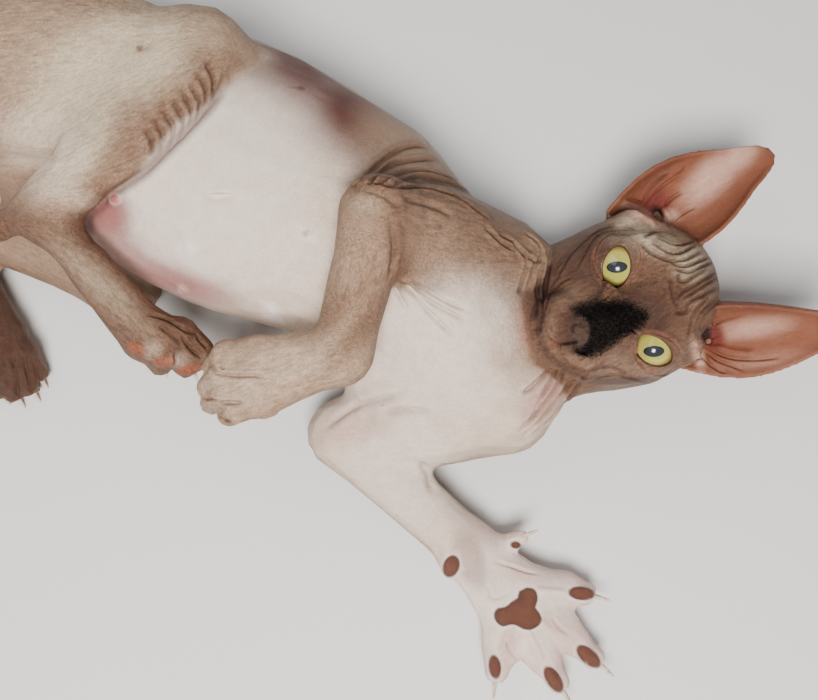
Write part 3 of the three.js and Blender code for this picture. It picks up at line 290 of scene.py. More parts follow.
# each fold's depth and width are in millimetres, and its dark is how strong the painted shade at its bottom
# is; a fold with a depth below nought is a ridge
folds = {
    "thighLadder": {"depth": 1.1, "width": 2.0, "dark": 0.45, "traces": [
        [(206, 63), (213.5, 78), (212, 94)],
        [(199, 76), (206, 88), (205, 103), (201, 112)],
        [(191, 87), (199, 100), (198, 115), (194, 124)],
        [(183, 94), (191, 108), (189, 125), (185, 133)],
        [(174, 103), (183, 118), (181.5, 134), (177, 142)],
        [(164, 114), (173.5, 127), (171.5, 142), (168, 149)],
        [(155, 122), (163, 134), (161, 147), (158, 154)],
        [(146, 131), (153, 142), (152, 153)],
    ]},
    "thighCrease": {"depth": 1.2, "width": 2.4, "dark": 0.5, "traces": [
        [(222, 76), (214, 99), (194, 123), (167, 150), (145, 171), (116, 191), (93, 212), (88, 228)],
    ]},
    "leftHindFoot": {"depth": 1.2, "width": 1.4, "dark": 0.6, "traces": [
        [(12, 358), (16, 376), (18, 396)],
        [(23, 356), (28, 375), (31, 393)],
        [(32, 360), (37, 376), (41, 389)],
    ]},
    "flank": {"depth": 2.1, "width": 1.6, "dark": 0.9, "traces": [
        [(355, 186), (370, 172), (386, 158.5), (400, 149.5), (413, 146.5), (425, 147)],
        [(369, 184.5), (377, 175.5), (389.5, 166.5), (404, 162), (420, 160), (434, 160)],
        [(373.5, 185), (389.5, 179), (405.5, 172.5), (420, 170.5), (431, 172), (445, 177), (456, 181.5)],
        [(377, 185.5), (395, 183.5), (409, 179), (420, 178), (434, 180), (448.5, 184.5), (468, 191.5)],
        [(382.5, 187), (404, 187.5), (420, 188), (436, 190.5), (456, 197), (472, 207.5), (488, 218)],
    ]},
    "shoulder": {"depth": 1.1, "width": 2.3, "dark": 0.55, "traces": [
        [(362, 189), (379, 193), (391.5, 200.5), (400, 208)],
        [(387, 220), (391.5, 231), (394, 245), (392.5, 263), (389, 277)],
        [(404, 199), (422, 203), (440, 209), (452, 217)],
    ]},
    "neckRight": {"depth": 1.9, "width": 1.5, "dark": 0.95, "traces": [
        [(552, 252), (548.5, 266.5), (545.5, 284.5), (544, 300.5), (542, 318), (538, 332)],
        [(545, 263), (539.5, 277), (537, 291.5), (538.5, 300.5), (532.5, 318)],
        [(527, 234.5), (539.5, 245.5), (541.5, 256), (539, 263)],
        [(498.5, 234.5), (513, 243), (525.5, 256), (537, 261), (542, 258)],
        [(520, 252), (527, 262), (523, 278), (519, 292)],
        [(486, 228), (502, 243), (516, 250)],
    ]},
    "throatLeft": {"depth": 2.0, "width": 1.6, "dark": 0.85, "traces": [
        [(564, 366), (558.5, 382), (545, 400.5), (533, 416), (521, 430)],
        [(577, 379), (569, 384.5), (550.5, 406), (537, 421), (525, 434)],
        [(558.5, 368.5), (550.5, 379), (540, 400.5), (529, 422)],
        [(548, 371), (534.5, 384.5), (524, 392.5)],
        [(583, 377), (573, 392), (556, 411), (545, 424)],
    ]},
    "armpit": {"depth": 1.3, "width": 1.7, "dark": 0.55, "traces": [
        [(398, 282.5), (414, 291), (430, 301.5), (448, 311), (465, 320)],
        [(414, 283), (427, 290), (441, 299), (453, 305), (465, 309.5)],
        [(406, 284), (415, 295), (424.5, 307), (439, 322), (454, 336)],
        [(394, 286), (401, 299), (407, 309)],
    ]},
    "leftArm": {"depth": 1.1, "width": 2.6, "dark": 0.45, "traces": [
        [(328, 427), (342, 415), (357.5, 406), (384.5, 398), (403, 392.5)],
        [(384.5, 412.5), (408.5, 410), (432.5, 412)],
        [(420, 462), (428, 474), (430, 488)],
    ]},
    "forepawRight": {"depth": 1.5, "width": 1.3, "dark": 0.8, "traces": [
        [(206, 361), (212, 366), (217, 373), (234, 375.5), (255, 375.5), (264.5, 378)],
        [(197, 393), (203, 397), (212.5, 399.5), (224.5, 402.5), (241.5, 402.5)],
        [(214, 412), (224.5, 419), (243, 422), (270.5, 414.5), (286, 408)],
        [(300, 404), (312, 399), (322, 393)],
        [(221, 362), (224, 370)],
    ]},
    "hindFootRight": {"depth": 1.5, "width": 1.2, "dark": 0.85, "traces": [
        [(148, 314), (156, 316.5), (169.5, 321), (185, 330.5), (197, 333.5), (205, 333)],
        [(160.5, 326), (166, 331), (172.5, 336.5), (178, 342), (182, 346)],
        [(181, 337), (188, 346), (196, 354), (203, 358)],
        [(196, 336), (202, 343), (208, 349)],
        [(175, 352), (176, 364)],
    ]},
    "forehead": {"depth": 1.25, "width": 1.0, "dark": 0.8, "traces": [
        [(670.5, 281), (672.5, 295), (677, 306)],
        [(678.5, 275), (679.5, 281), (686, 281), (694.5, 275.5), (705.5, 269)],
        [(677, 300.5), (682, 293), (693, 286), (707, 278), (714.5, 273.5)],
        [(684, 298.5), (694.5, 291.5), (707, 283.5), (716, 279)],
        [(686, 311), (689.5, 302), (700, 297), (710.5, 291.5), (717, 289)],
        [(676, 313), (684, 313), (689.5, 309.5)],
        [(689.5, 334.5), (691, 322), (696.5, 309.5), (707, 298.5)],
        [(694.5, 330.5), (697.5, 318), (703.5, 309.5), (714.5, 300.5)],
        [(699, 329), (702, 318), (709, 309.5), (717, 303)],
        [(641, 245), (655.5, 255.5), (671.5, 261), (685.5, 259.5), (700, 252)],
        [(653.5, 243), (668, 252), (680.5, 253), (694.5, 245)],
        [(659, 238), (675, 245), (689.5, 243), (700, 236)],
        [(671.5, 263), (684, 266.5), (700, 261), (710.5, 256)],
        [(677, 270), (689.5, 272), (702, 266.5), (712, 262)],
        [(645, 236), (660, 232), (675, 236)],
    ]},
    "lids": {"depth": 1.1, "width": 0.9, "dark": 0.75, "traces": [
        [(623, 233), (611, 235), (600, 243), (594, 256), (596, 270), (602, 280), (609, 289)],
        [(637, 242), (642, 253), (640, 265), (633, 277), (624, 286)],
        [(634, 343), (636, 357), (645, 369), (657, 375), (671, 373), (680, 366)],
        [(645, 332), (659, 334), (673, 341), (681, 353), (679, 363)],
        [(615, 288), (611, 292), (608, 297)],
        [(639, 334), (633, 330), (628, 329)],
    ]},
    "cheeks": {"depth": 0.8, "width": 1.0, "dark": 0.6, "traces": [
        [(633, 229), (616, 230), (601, 234), (591, 243), (584, 255), (577, 268)],
        [(602, 229), (587, 240), (571, 255), (559, 272), (552, 288)],
        [(613, 226), (597, 233), (580, 247), (567, 262), (557, 279)],
        [(572, 277), (560, 283), (551, 294), (546, 308), (544, 322)],
        [(588, 372), (600, 367), (612, 367), (625, 373)],
        [(596, 378), (612, 375), (630, 378), (645, 382)],
        [(566, 362), (575, 368), (586, 371)],
    ]},
    "mouth": {"depth": 1.5, "width": 0.85, "dark": 1.0, "traces": [
        [(577, 341.5), (569, 343), (560, 343.5)],
        [(560, 343.5), (552, 339), (546, 329), (543, 317)],
        [(560, 343.5), (562, 354), (570, 363), (583, 369)],
    ]},
    "nostrils": {"depth": 2.0, "width": 0.9, "dark": 1.0, "traces": [
        [(577, 323), (573, 327), (573, 333)],
        [(576, 350), (581, 353), (587, 353)],
    ]},
    "earFolds": {"depth": 1.5, "width": 1.2, "dark": 0.75, "traces": [
        [(643, 204), (648, 191.5), (659, 179), (671.5, 172)],
        [(645.5, 207.5), (652, 195), (668, 182.5), (682, 173.5)],
        [(627, 199), (634, 201), (643, 204)],
        [(664, 207), (671, 199), (682, 192)],
        [(668, 226), (680, 215), (694, 207)],
        [(704.5, 346.5), (714.5, 352), (728.5, 357.5), (752, 359.5), (778.5, 357.5)],
        [(706, 352), (716, 359), (725, 363), (743, 370)],
        [(709, 327), (722, 321), (740, 317)],
        [(704, 357), (712, 366), (724, 373)],
    ]},
    "earRidges": {"depth": -1.7, "width": 2.6, "dark": 0, "traces": [
        [(630.5, 209), (638, 215), (646.5, 220), (655.5, 226)],
        [(665, 213), (669, 217), (671, 222)],
        [(695, 340), (696.5, 350.5), (700, 365)],
        [(655, 186), (668, 174), (684, 166)],
        [(715, 345), (733, 351), (756, 353)],
    ]},
    "earCanals": {"depth": 4.2, "width": 2.7, "dark": 1.0, "traces": [
        [(655, 212), (659, 217), (661, 222)],
        [(703.5, 330), (706, 337), (708, 344)],
    ]},
    "palmRays": {"depth": -1.1, "width": 2.6, "dark": 0, "traces": [
        [(538, 618), (552, 630), (569, 642)],
        [(528, 630), (535, 645), (543, 662)],
        [(514, 622), (506, 640), (500, 655)],
        [(536, 590), (552, 591), (566, 592)],
    ]},
    "palmLines": {"depth": 0.8, "width": 1.2, "dark": 0.35, "traces": [
        [(485, 584), (490, 592), (492, 598), (500, 597), (510, 592)],
        [(495, 562), (510, 566), (524, 571), (537, 574)],
        [(506, 640), (511, 652), (520, 662)],
        [(552, 617), (560, 628), (569, 634)],
    ]},
}
for fold in folds.values():
    fold["ways"] = [way for trace in fold["traces"] for way in onPhoto(trace)]
print("folds traced")


def offPiece(points, start, run):
    # how far along a straight piece each point is, from nought to one, and how far off it
    along = np.clip(((points - start) @ run) / max(run @ run, 1e-12), 0, 1)
    return along, np.linalg.norm(points - (start + along[:, None] * run), axis=1)


def distanceToWay(points, way, margin=9):
    low = way.min(0) - margin * mm
    high = way.max(0) + margin * mm
    near = np.where(((points > low) & (points < high)).all(1))[0]
    distance = np.full(len(near), 1.0)
    place = np.zeros(len(near))
    for k in range(len(way) - 1):
        a, ab = way[k], way[k + 1] - way[k]
        t, d = offPiece(points[near], a, ab)
        closer = d < distance
        distance[closer] = d[closer]
        place[closer] = (k + t[closer]) / (len(way) - 1)
    return near, distance / mm, place


# across a fold, in its own widths: the groove, the roll beside it, and the line of painted shade at its
# bottom
acrossFold = {"groove": 0.6, "rollAt": 1.4, "roll": 0.75, "rollHeight": 0.4, "line": 0.42}
foldEnds = {"steep": 5, "least": 0.15}
foldLimits = (-2.2, 4.4)


def foldShape(points):
    # how far each point is pushed in, in millimetres, and how strong the painted shade at the bottom of the
    # fold is
    push = np.zeros(len(points))
    dark = np.zeros(len(points))
    for fold in folds.values():
        for way in fold["ways"]:
            near, distance, place = distanceToWay(points, way)
            fade = np.minimum(1, np.minimum(place, 1 - place) * foldEnds["steep"] + foldEnds["least"])
            widths = distance / fold["width"]
            groove = np.exp(-((widths / acrossFold["groove"]) ** 2))
            roll = np.exp(-(((widths - acrossFold["rollAt"]) / acrossFold["roll"]) ** 2))
            rising = acrossFold["rollHeight"] * roll * (fold["depth"] > 0)
            push[near] += (groove - rising) * fade * fold["depth"]
            line = np.exp(-((widths / acrossFold["line"]) ** 2))
            dark[near] = np.maximum(dark[near], line * fade * fold["dark"])
    return np.clip(push, *foldLimits), dark


# The left palm's pads, as ovals over the photograph: middle, half length, half width, turn in degrees
palmPads = {
    "carpal": (451.2, 566.3, 11.5, 8.2, -70),
    "dewclaw": (515.5, 545, 5.6, 3.8, 5),
    "toeOne": (581.5, 593.4, 13.6, 6.9, 5),
    "toeTwo": (588.5, 656.5, 15.2, 7.6, 42),
    "toeThree": (553.5, 679.5, 15, 7.4, 58),
    "toeFour": (494.8, 667, 12.2, 6.2, 84),
}
middlePad = [
    (526.4, 587.5), (533, 588.5), (537, 593), (537.8, 600.5), (535.5, 607.5), (539.5, 613), (542, 620.5),
    (538.5, 626), (530, 630.3), (522.2, 629), (516, 625.5), (509.7, 625), (502.8, 627), (496, 622),
    (493.6, 614.5), (497.2, 608.3), (505, 607), (511, 602), (517.5, 597.5), (518.6, 591.7),
]
feetPads = {
    "heel": (137, 349, 10, 4.8, 28),
    "first": (165, 361.5, 11, 5.6, -8),
    "second": (190, 369.5, 13, 5, -8),
}


def overOval(picture, oval, soft):
    # one inside the oval, nought outside, with a soft edge in pixels
    x, y, long, wide, turn = oval
    turn = math.radians(turn)
    along = (picture[:, 0] - x) * math.cos(turn) + (picture[:, 1] - y) * math.sin(turn)
    aside = (picture[:, 1] - y) * math.cos(turn) - (picture[:, 0] - x) * math.sin(turn)
    reach = np.hypot(along / long, aside / wide)
    return 1 - smoothStep(1 - soft / wide, 1 + soft / wide, reach)


def distanceToOutline(picture, corners):
    distance = np.full(len(picture), 1e9)
    for a, b in zip(corners[:-1], corners[1:]):
        distance = np.minimum(distance, offPiece(picture, a, b - a)[1])
    return distance


def overOutline(picture, outline, soft, grow=0):
    # one inside an outline over the photograph, with a soft edge in pixels
    corners = curveThrough(list(outline) + [outline[0]], 3)
    inside = np.zeros(len(picture), bool)
    for a, b in zip(corners[:-1], corners[1:]):
        crosses = (a[1] > picture[:, 1]) != (b[1] > picture[:, 1])
        run = b[1] - a[1] if b[1] != a[1] else 1e-9
        inside ^= crosses & (picture[:, 0] < a[0] + (picture[:, 1] - a[1]) / run * (b[0] - a[0]))
    distance = distanceToOutline(picture, corners)
    return smoothStep(-soft, soft, np.where(inside, distance, -distance) + grow)


def towardCamera(points, normals):
    sight = np.array(cameraPlace) - points
    return (normals * sight).sum(1) / np.linalg.norm(sight, axis=1)


def padShare(points, normals, pads, centre, soft=1.2, grow=0):
    near = nearness(points, centre, 95) * smoothStep(-0.1, 0.15, towardCamera(points, normals))
    share = np.zeros(len(points))
    close = np.where(near > 0)[0]
    picture = onPicture(points[close])
    for x, y, long, wide, turn in pads.values():
        pad = overOval(picture, (x, y, long + grow, wide + grow, turn), soft)
        share[close] = np.maximum(share[close], pad)
    if pads is palmPads:
        share[close] = np.maximum(share[close], overOutline(picture, middlePad, soft, grow))
    return share * near


# Claws stand at the toes' ends: place and direction of each root, as drawn in the solids
clawRoots = {
    "rightForepaw": [
        ((-92, -9.7, 54.8), (-0.54, -0.19, -0.82)),
        ((-94.9, -18.6, 51.4), (-0.59, -0.19, -0.79)),
        ((-93.2, -26, 50.3), (-0.58, -0.16, -0.8)),
        ((-84.1, -31.8, 52.4), (-0.46, -0.12, -0.88)),
    ],
    "leftForepaw": [
        ((88.5, -113.8, 10.3), (0.95, -0.3, 0.08)),
        ((91, -145.3, 10.2), (0.73, -0.68, 0.04)),
        ((72.8, -156.8, 10.2), (0.5, -0.86, 0.04)),
        ((41.6, -152.6, 10.2), (-0.15, -0.99, 0.05)),
    ],
    "rightHindFoot": [
        ((-95.9, -0.7, 51.9), (0.54, -0.37, -0.66)),
        ((-97.9, -5.2, 49), (0.51, -0.4, -0.66)),
        ((-104.2, -8.5, 47.5), (0.44, -0.42, -0.69)),
        ((-116.6, -7.9, 49.3), (0.18, -0.42, -0.79)),
    ],
    "leftHindFoot": [
        ((-190.5, -5, 5.7), (0.39, -0.76, -0.51)),
        ((-194.3, -11.9, 5.4), (0.45, -0.77, -0.46)),
        ((-201.8, -15.1, 5.5), (0.44, -0.76, -0.47)),
        ((-209.9, -13.9, 5.9), (0.46, -0.7, -0.54)),
    ],
}
clawStub = {"length": 11, "sunk": 1.4, "within": 2.86, "beyond": 4.16, "taper": 0.12, "pressed": 0.94}


def withoutStubs(points):
    # the solids' own claws are pressed back into the toes, as claws are pieces of their own here
    for claws in clawRoots.values():
        for root, direction in claws:
            root = np.array(drawn(*root))
            direction = np.array(direction) / np.linalg.norm(direction)
            away = points - root
            along = away @ direction
            aside = np.linalg.norm(away - along[:, None] * direction, axis=1)
            past = along - clawStub["sunk"] * mm
            isStub = (past > 0) & (along < clawStub["length"] * mm)
            outward = (aside + clawStub["taper"] * along) / mm
            share = isStub * (1 - smoothStep(clawStub["within"], clawStub["beyond"], outward))
            points = points - direction * (past * share * clawStub["pressed"])[:, None]
    return points


# Finer faces on the face itself, along every fold and round each pad
detail = {"middle": (0, -8, 0), "reach": 46, "facing": -0.2, "alongFold": 2.2, "padEdge": 3.2}
markPlaces = {
    "reach": 6,
    "at": [(220, 197), (116, 199), (188, 250), (270, 311), (306, 234), (182, 289), (140, 49), (301, 89)],
}


def isDetail(points, normals):
    wanted = np.linalg.norm(points - np.array(inHead(*detail["middle"])), axis=1) < detail["reach"] * mm
    wanted &= normals @ np.array(headForward) > detail["facing"]
    for fold in folds.values():
        for way in fold["ways"]:
            near, distance, place = distanceToWay(points, way)
            wanted[near[distance < detail["alongFold"] * fold["width"]]] = True
    picture = onPicture(points)
    seenSide = towardCamera(points, normals) > 0
    for x, y in markPlaces["at"]:
        wanted |= (np.hypot(picture[:, 0] - x, picture[:, 1] - y) < markPlaces["reach"]) & seenSide
    for pads, foot in ((palmPads, "leftPalm"), (feetPads, "rightHindFoot")):
        share = padShare(points, normals, pads, fineForms[foot][0], detail["padEdge"])
        wanted |= (share > 0.02) & (share < 0.98)
    return wanted


def readFaces(name, size):
    values = np.empty(len(skin.data.polygons) * size)
    skin.data.polygons.foreach_get(name, values)
    return values.reshape(-1, size) if size > 1 else values


def subdivideFaces(wanted):
    choose(skin)
    bpy.ops.object.mode_set(mode="EDIT")
    bpy.ops.mesh.select_mode(type="FACE")
    bpy.ops.mesh.select_all(action="DESELECT")
    bpy.ops.object.mode_set(mode="OBJECT")
    skin.data.polygons.foreach_set("select", wanted)
    bpy.ops.object.mode_set(mode="EDIT")
    bpy.ops.mesh.subdivide(number_cuts=1)
    bpy.ops.object.mode_set(mode="OBJECT")


subdivideFaces(isDetail(readFaces("center", 3), readFaces("normal", 3)))
points = readPoints(skin)
points = smoothed(points, neighbourTable(skin), np.full(len(points), 0.5), 2)
writePoints(skin, points)
print("skin refined:", len(points), "points")

push, dark = foldShape(points)
normals = readNormals(skin)
pads = padShare(points, normals, palmPads, fineForms["leftPalm"][0])
pads = np.maximum(pads, padShare(points, normals, feetPads, fineForms["rightHindFoot"][0]))
padHeight = 0.8
points = points - normals * ((push - pads * padHeight) * mm)[:, None]
points = withoutStubs(points)
writePoints(skin, points)
print("folds pressed")

thinning = skin.modifiers.new("thinning", "DECIMATE")
triangles = sum(len(f.vertices) - 2 for f in skin.data.polygons)
thinning.ratio = min(1, skinCast["faces"] / triangles)
choose(skin)
bpy.ops.object.modifier_apply(modifier="thinning")
print("skin thinned:", len(skin.data.polygons), "faces of", triangles)

# where thinning left faces too large for the detail painted there, they are cut once more
areas = readFaces("area", 1) / mm**2
large = isDetail(readFaces("center", 3), readFaces("normal", 3)) & (areas > skinCast["largeFace"])
spare = (skinCast["most"] - len(areas)) // 4
if large.sum() > spare:
    large &= areas >= np.sort(areas[large])[-spare]
subdivideFaces(large)
choose(skin)
bpy.ops.object.shade_smooth()
triangles = sum(len(f.vertices) - 2 for f in skin.data.polygons)
print("skin cut finer:", int(large.sum()), "faces, now", triangles)

# The skin's colours: soft base tones by part, then brushes laid over what the photograph shows
tones = {
    "pale": (234, 220, 208),
    "cream": (224, 206, 188),
    "straw": (218, 206, 180),
    "rosy": (158, 88, 86),
    "blush": (196, 134, 124),
    # painted shade, on the upper flank and along the thigh's crease over the belly
    "flank": (98, 54, 48),
    "pink": (228, 198, 190),
    "sand": (188, 164, 140),
    "taupe": (164, 138, 116),
    "brown": (122, 93, 74),
    "umber": (84, 57, 43),
    "dusk": (72, 48, 41),
    "black": (10, 7, 6),
    "ear": (140, 86, 62),
    "earPale": (212, 172, 154),
    "earEdge": (92, 50, 36),
    # painted shade deep in the ear canals
    "earDeep": (40, 12, 10),
    "earRed": (112, 44, 38),
    "pad": (122, 70, 46),
    "padEdge": (64, 28, 18),
    "padPink": (178, 98, 68),
    "nose": (80, 62, 52),
    # painted shade at the bottom of folds, nostrils, the mouth and the ear canals
    "fold": (52, 30, 24),
    "lip": (166, 98, 68),
    "halo": (252, 240, 232),
    "nipple": (176, 80, 80),
    "lidPink": (172, 124, 104),
    "scab": (92, 40, 32),
}
partTones = {
    "head": "brown",
    "ear_right": "ear",
    "ear_left": "ear",
    "neck": "taupe",
    "chest": "cream",
    "belly": "pale",
    "rump": "cream",
    "upper_arm_right": "taupe",
    "forearm_right": "taupe",
    "forepaw_right": "sand",
    "upper_arm_left": "cream",
    "forearm_left": "cream",
    "forepaw_left": "pink",
    "thigh_right": "sand",
    "shin_right": "taupe",
    "hind_foot_right": "brown",
    "thigh_left": "taupe",
    "shin_left": "taupe",
    "hind_foot_left": "umber",
    "tail_base": "taupe",
    "tail_middle": "taupe",
    "tail_tip": "brown",
}


def linear(tone):
    shade = np.array(tones[tone]) / 255
    return np.where(shade <= 0.04045, shade / 12.92, ((shade + 0.055) / 1.055) ** 2.4)


points = readPoints(skin)
normals = readNormals(skin)
edgePairs, edgeCounts = neighbourTable(skin)


def softened(values, rounds):
    flat = values.reshape(len(values), -1)
    for step in range(rounds):
        flat = (flat + neighbourSums(flat, edgePairs)) / (1 + edgeCounts)[:, None]
    return flat.reshape(values.shape)


allCorners, allFaces, ownerOfFace = [], [], []
for number, name in enumerate(fleshNodes):
    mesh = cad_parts[name].data
    start = len(allCorners)
    allCorners += [tuple(v.co) for v in mesh.vertices]
    allFaces += [tuple(start + i for i in f.vertices) for f in mesh.polygons]
    ownerOfFace += [number] * len(mesh.polygons)
nodeTree = BVHTree.FromPolygons(allCorners, allFaces)
ownerOf = np.array([ownerOfFace[nodeTree.find_nearest(Vector(p))[2]] for p in points])
paint = softened(np.stack([linear(partTones[name]) for name in fleshNodes])[ownerOf], 18)
picture = onPicture(points)
facing = towardCamera(points, normals)
inSight = smoothStep(0.0, 0.25, facing)
shareOfNodes = {}


def on(*names):
    # one on these parts of the body, with a soft border
    if names not in shareOfNodes:
        chosen = np.isin(ownerOf, [fleshNodes.index(name) for name in names]).astype(float)
        shareOfNodes[names] = softened(chosen, 7)
    return shareOfNodes[names]


def brush(tone, strength):
    global paint
    strength = np.clip(strength, 0, 1)[:, None]
    paint = paint * (1 - strength) + linear(tone) * strength


def overOvals(ovals, soft):
    share = np.zeros(len(points))
    for oval in ovals:
        share = np.maximum(share, overOval(picture, oval, min(soft, oval[3])))
    return share


def overTrace(trace, reach, core=0.2):
    # one along a trace over the photograph, fading to nought at its reach in pixels
    way = curveThrough(trace, 3)
    distance = np.full(len(picture), 1e9)
    low, high = way.min(0) - reach, way.max(0) + reach
    near = np.where(((picture > low) & (picture < high)).all(1))[0]
    for a, b in zip(way[:-1], way[1:]):
        distance[near] = np.minimum(distance[near], offPiece(picture[near], a, b - a)[1])
    return 1 - smoothStep(reach * core, reach, distance)


# the back and the outer sides are browner than the belly: partly the skin's own darker pigment, partly
# painted shade where the surface turns sideways and downward
isEar = on("ear_right", "ear_left")
isFoot = on("forepaw_left", "hind_foot_right", "forepaw_right")
sideways = 1 - smoothStep(-0.1, 0.8, normals[:, 2])
underside = 1 - smoothStep(-0.3, 0.45, normals[:, 2])
sidePigmentAndShade = {"taupe": 0.75, "brown": 0.55, "sparedPaw": 0.6}
brush("taupe", underside * sidePigmentAndShade["taupe"] * (1 - isEar) * (1 - isFoot))
sparedPaw = 1 - on("forepaw_left") * sidePigmentAndShade["sparedPaw"]
brush("brown", sideways * sidePigmentAndShade["brown"] * (1 - isEar) * sparedPaw)

legs = ("thigh_right", "shin_right")
trunk = ("belly", "chest", "rump")
chestParts = ("chest", "upper_arm_right", "upper_arm_left", "neck")
# ovals over the photograph: middle, half length, half width and turn in degrees, then softness
ovalBrushes = {
    # the belly's own pale skin, made brighter in its middle as painted light
    "bellyLight": ("pale", 0.9, trunk, 26, [(220, 160, 95, 66, 35), (250, 245, 75, 50, 20)]),
    "flankShade": ("flank", 1.0, trunk, 30, [(296, 62, 80, 32, 36), (352, 112, 62, 36, 48)]),
    # the chest's own pale skin, made brighter as painted light
    "chestLight": ("pale", 0.85, chestParts, 30, [(420, 350, 80, 62, 30), (470, 320, 50, 44, 30)]),
    "sideShade": (
        "taupe", 0.85, ("chest", "belly"), 18,
        [(394, 138, 40, 28, 40), (440, 170, 40, 26, 35)],
    ),
    "shoulder": ("brown", 0.4, chestParts, 28, [(430, 206, 60, 30, 24), (484, 236, 50, 32, 45)]),
    # painted shade on the neck under the head's outline
    "neckShade": (
        "dusk", 0.9, ("neck", "chest", "head"), 12,
        [(534, 258, 26, 16, 60), (540, 292, 30, 11, 90)],
    ),
    "throatPink": (
        "blush", 0.6, ("neck", "chest", "upper_arm_left"), 13,
        [(548, 396, 36, 15, -50), (526, 322, 10, 24, 0)],
    ),
    # painted shade on the throat under the jaw
    "throatShade": ("brown", 0.5, ("neck", "chest"), 8, [(566, 380, 22, 10, -50)]),
    "thighPale": ("straw", 0.95, legs, 22, [(116, 60, 84, 46, -20), (66, 120, 46, 70, 20)]),
    "rumpPale": ("cream", 0.9, legs + ("rump",), 18, [(36, 150, 44, 34, 30)]),
    # painted shade in the knee's fold and along the thigh's folds
    "thighFoldShade": ("brown", 0.35, legs, 14, [(196, 62, 30, 14, 62), (160, 116, 40, 14, -50)]),
    # painted shade along the top edge of the thigh and rump
    "thighTop": ("brown", 0.35, legs, 9, [(150, 8, 90, 9, 4)]),
    "shinPale": ("straw", 0.45, ("shin_right", "hind_foot_right"), 12, [(100, 284, 60, 12, 45)]),
    "hockPale": ("cream", 0.85, legs, 14, [(62, 208, 34, 24, 20)]),
    "hock": ("blush", 0.6, legs, 8, [(55, 214, 13, 9, 0)]),
    "footShade": ("umber", 0.35, ("hind_foot_right",), 9, [(170, 322, 40, 10, 20), (176, 352, 8, 16, 0)]),
    "footLight": ("cream", 0.5, ("hind_foot_right",), 6, [(152, 350, 9, 8, 0), (180, 360, 8, 7, 0)]),
    "elbowPale": ("straw", 0.35, ("upper_arm_right", "forearm_right"), 9, [(366, 204, 14, 10, 0)]),
    "armMid": ("sand", 0.5, ("upper_arm_right", "forearm_right"), 16, [(350, 260, 60, 16, -65)]),
    "forearmShade": (
        "brown", 0.65, ("forearm_right", "forepaw_right", "upper_arm_right"), 12,
        [(398, 250, 44, 10, 90), (360, 330, 50, 10, -48), (330, 312, 24, 12, -60)],
    ),
    "wristPale": (
        "cream", 0.45, ("forearm_right", "forepaw_right"), 14,
        [(282, 366, 44, 22, -20), (236, 386, 32, 20, 0)],
    ),
    # the left foreleg's own pale skin, made brighter as painted light
    "armLight": ("pale", 0.8, ("upper_arm_left", "forearm_left"), 20, [(400, 460, 80, 44, 45)]),
    "armRosy": ("blush", 0.35, ("upper_arm_left",), 14, [(352, 430, 40, 16, -20)]),
    "palmLight": ("pale", 0.75, ("forepaw_left",), 16, [(510, 600, 66, 60, 30)]),
    "palmPink": (
        "blush", 0.35, ("forepaw_left",), 8,
        [(520, 574, 22, 8, 15), (552, 625, 26, 8, 45), (508, 645, 8, 18, 10)],
    ),
    "wristSand": (
        "brown", 0.45, ("forepaw_left", "forearm_left"), 9,
        [(424, 590, 10, 60, -25), (470, 560, 14, 30, -20)],
    ),
    "headDark": (
        "umber", 0.65, ("head",), 16,
        [(590, 262, 40, 22, -55), (655, 310, 34, 26, 80), (560, 318, 22, 30, 0)],
    ),
    "foreheadMid": ("taupe", 0.35, ("head",), 10, [(700, 300, 14, 30, 0)]),
    "templePale": (
        "straw", 0.95, ("head",), 12,
        [(652, 238, 36, 13, 22), (690, 262, 16, 16, 0), (632, 222, 22, 10, -30)],
    ),
    "browDark": ("dusk", 0.55, ("head",), 9, [(655, 316, 20, 12, 70), (632, 300, 18, 9, 20)]),
    "muzzleWarm": (
        "taupe", 0.5, ("head",), 10,
        [(566, 298, 16, 10, -30), (572, 362, 16, 9, 20), (548, 330, 8, 16, 0)],
    ),
    "snoutDusk": ("dusk", 0.6, ("head",), 9, [(578, 330, 16, 27, 0)]),
    "cheekLow": ("taupe", 0.6, ("head",), 12, [(622, 372, 34, 12, 10)]),
    # painted shade along the jaw's lower edge
    "cheekEdge": ("umber", 0.5, ("head",), 8, [(640, 384, 50, 6, 0)]),
}
for tone, strength, nodes, soft, ovals in ovalBrushes.values():
    brush(tone, overOvals(ovals, soft) * strength * on(*nodes) * inSight)

flush = {
    "outline": [
        (88, 229), (94, 207), (106, 196), (118, 193), (127, 206), (130, 224), (136, 241), (152, 256),
        (176, 269), (202, 280), (240, 291), (264, 303), (262, 317), (226, 307), (190, 296), (160, 290),
        (130, 280), (104, 254),
    ],
    "soft": 9,
    "strength": 0.6,
    "spots": [((108, 214, 20, 20, 0), 14, 0.8), ((182, 286, 34, 13, 16), 12, 0.6)],
}
onBelly = on("belly") * inSight
brush("rosy", overOutline(picture, flush["outline"], flush["soft"]) * flush["strength"] * onBelly)
for oval, soft, strength in flush["spots"]:
    brush("rosy", overOval(picture, oval, soft) * strength * onBelly)
# the head's outline over the neck and throat, along which painted shade is laid
headContour = [
    (556, 243), (549, 262), (543, 285), (540, 305), (540, 325), (543, 345),
    (552, 358), (566, 368), (580, 375), (600, 380), (640, 381), (680, 378),
]
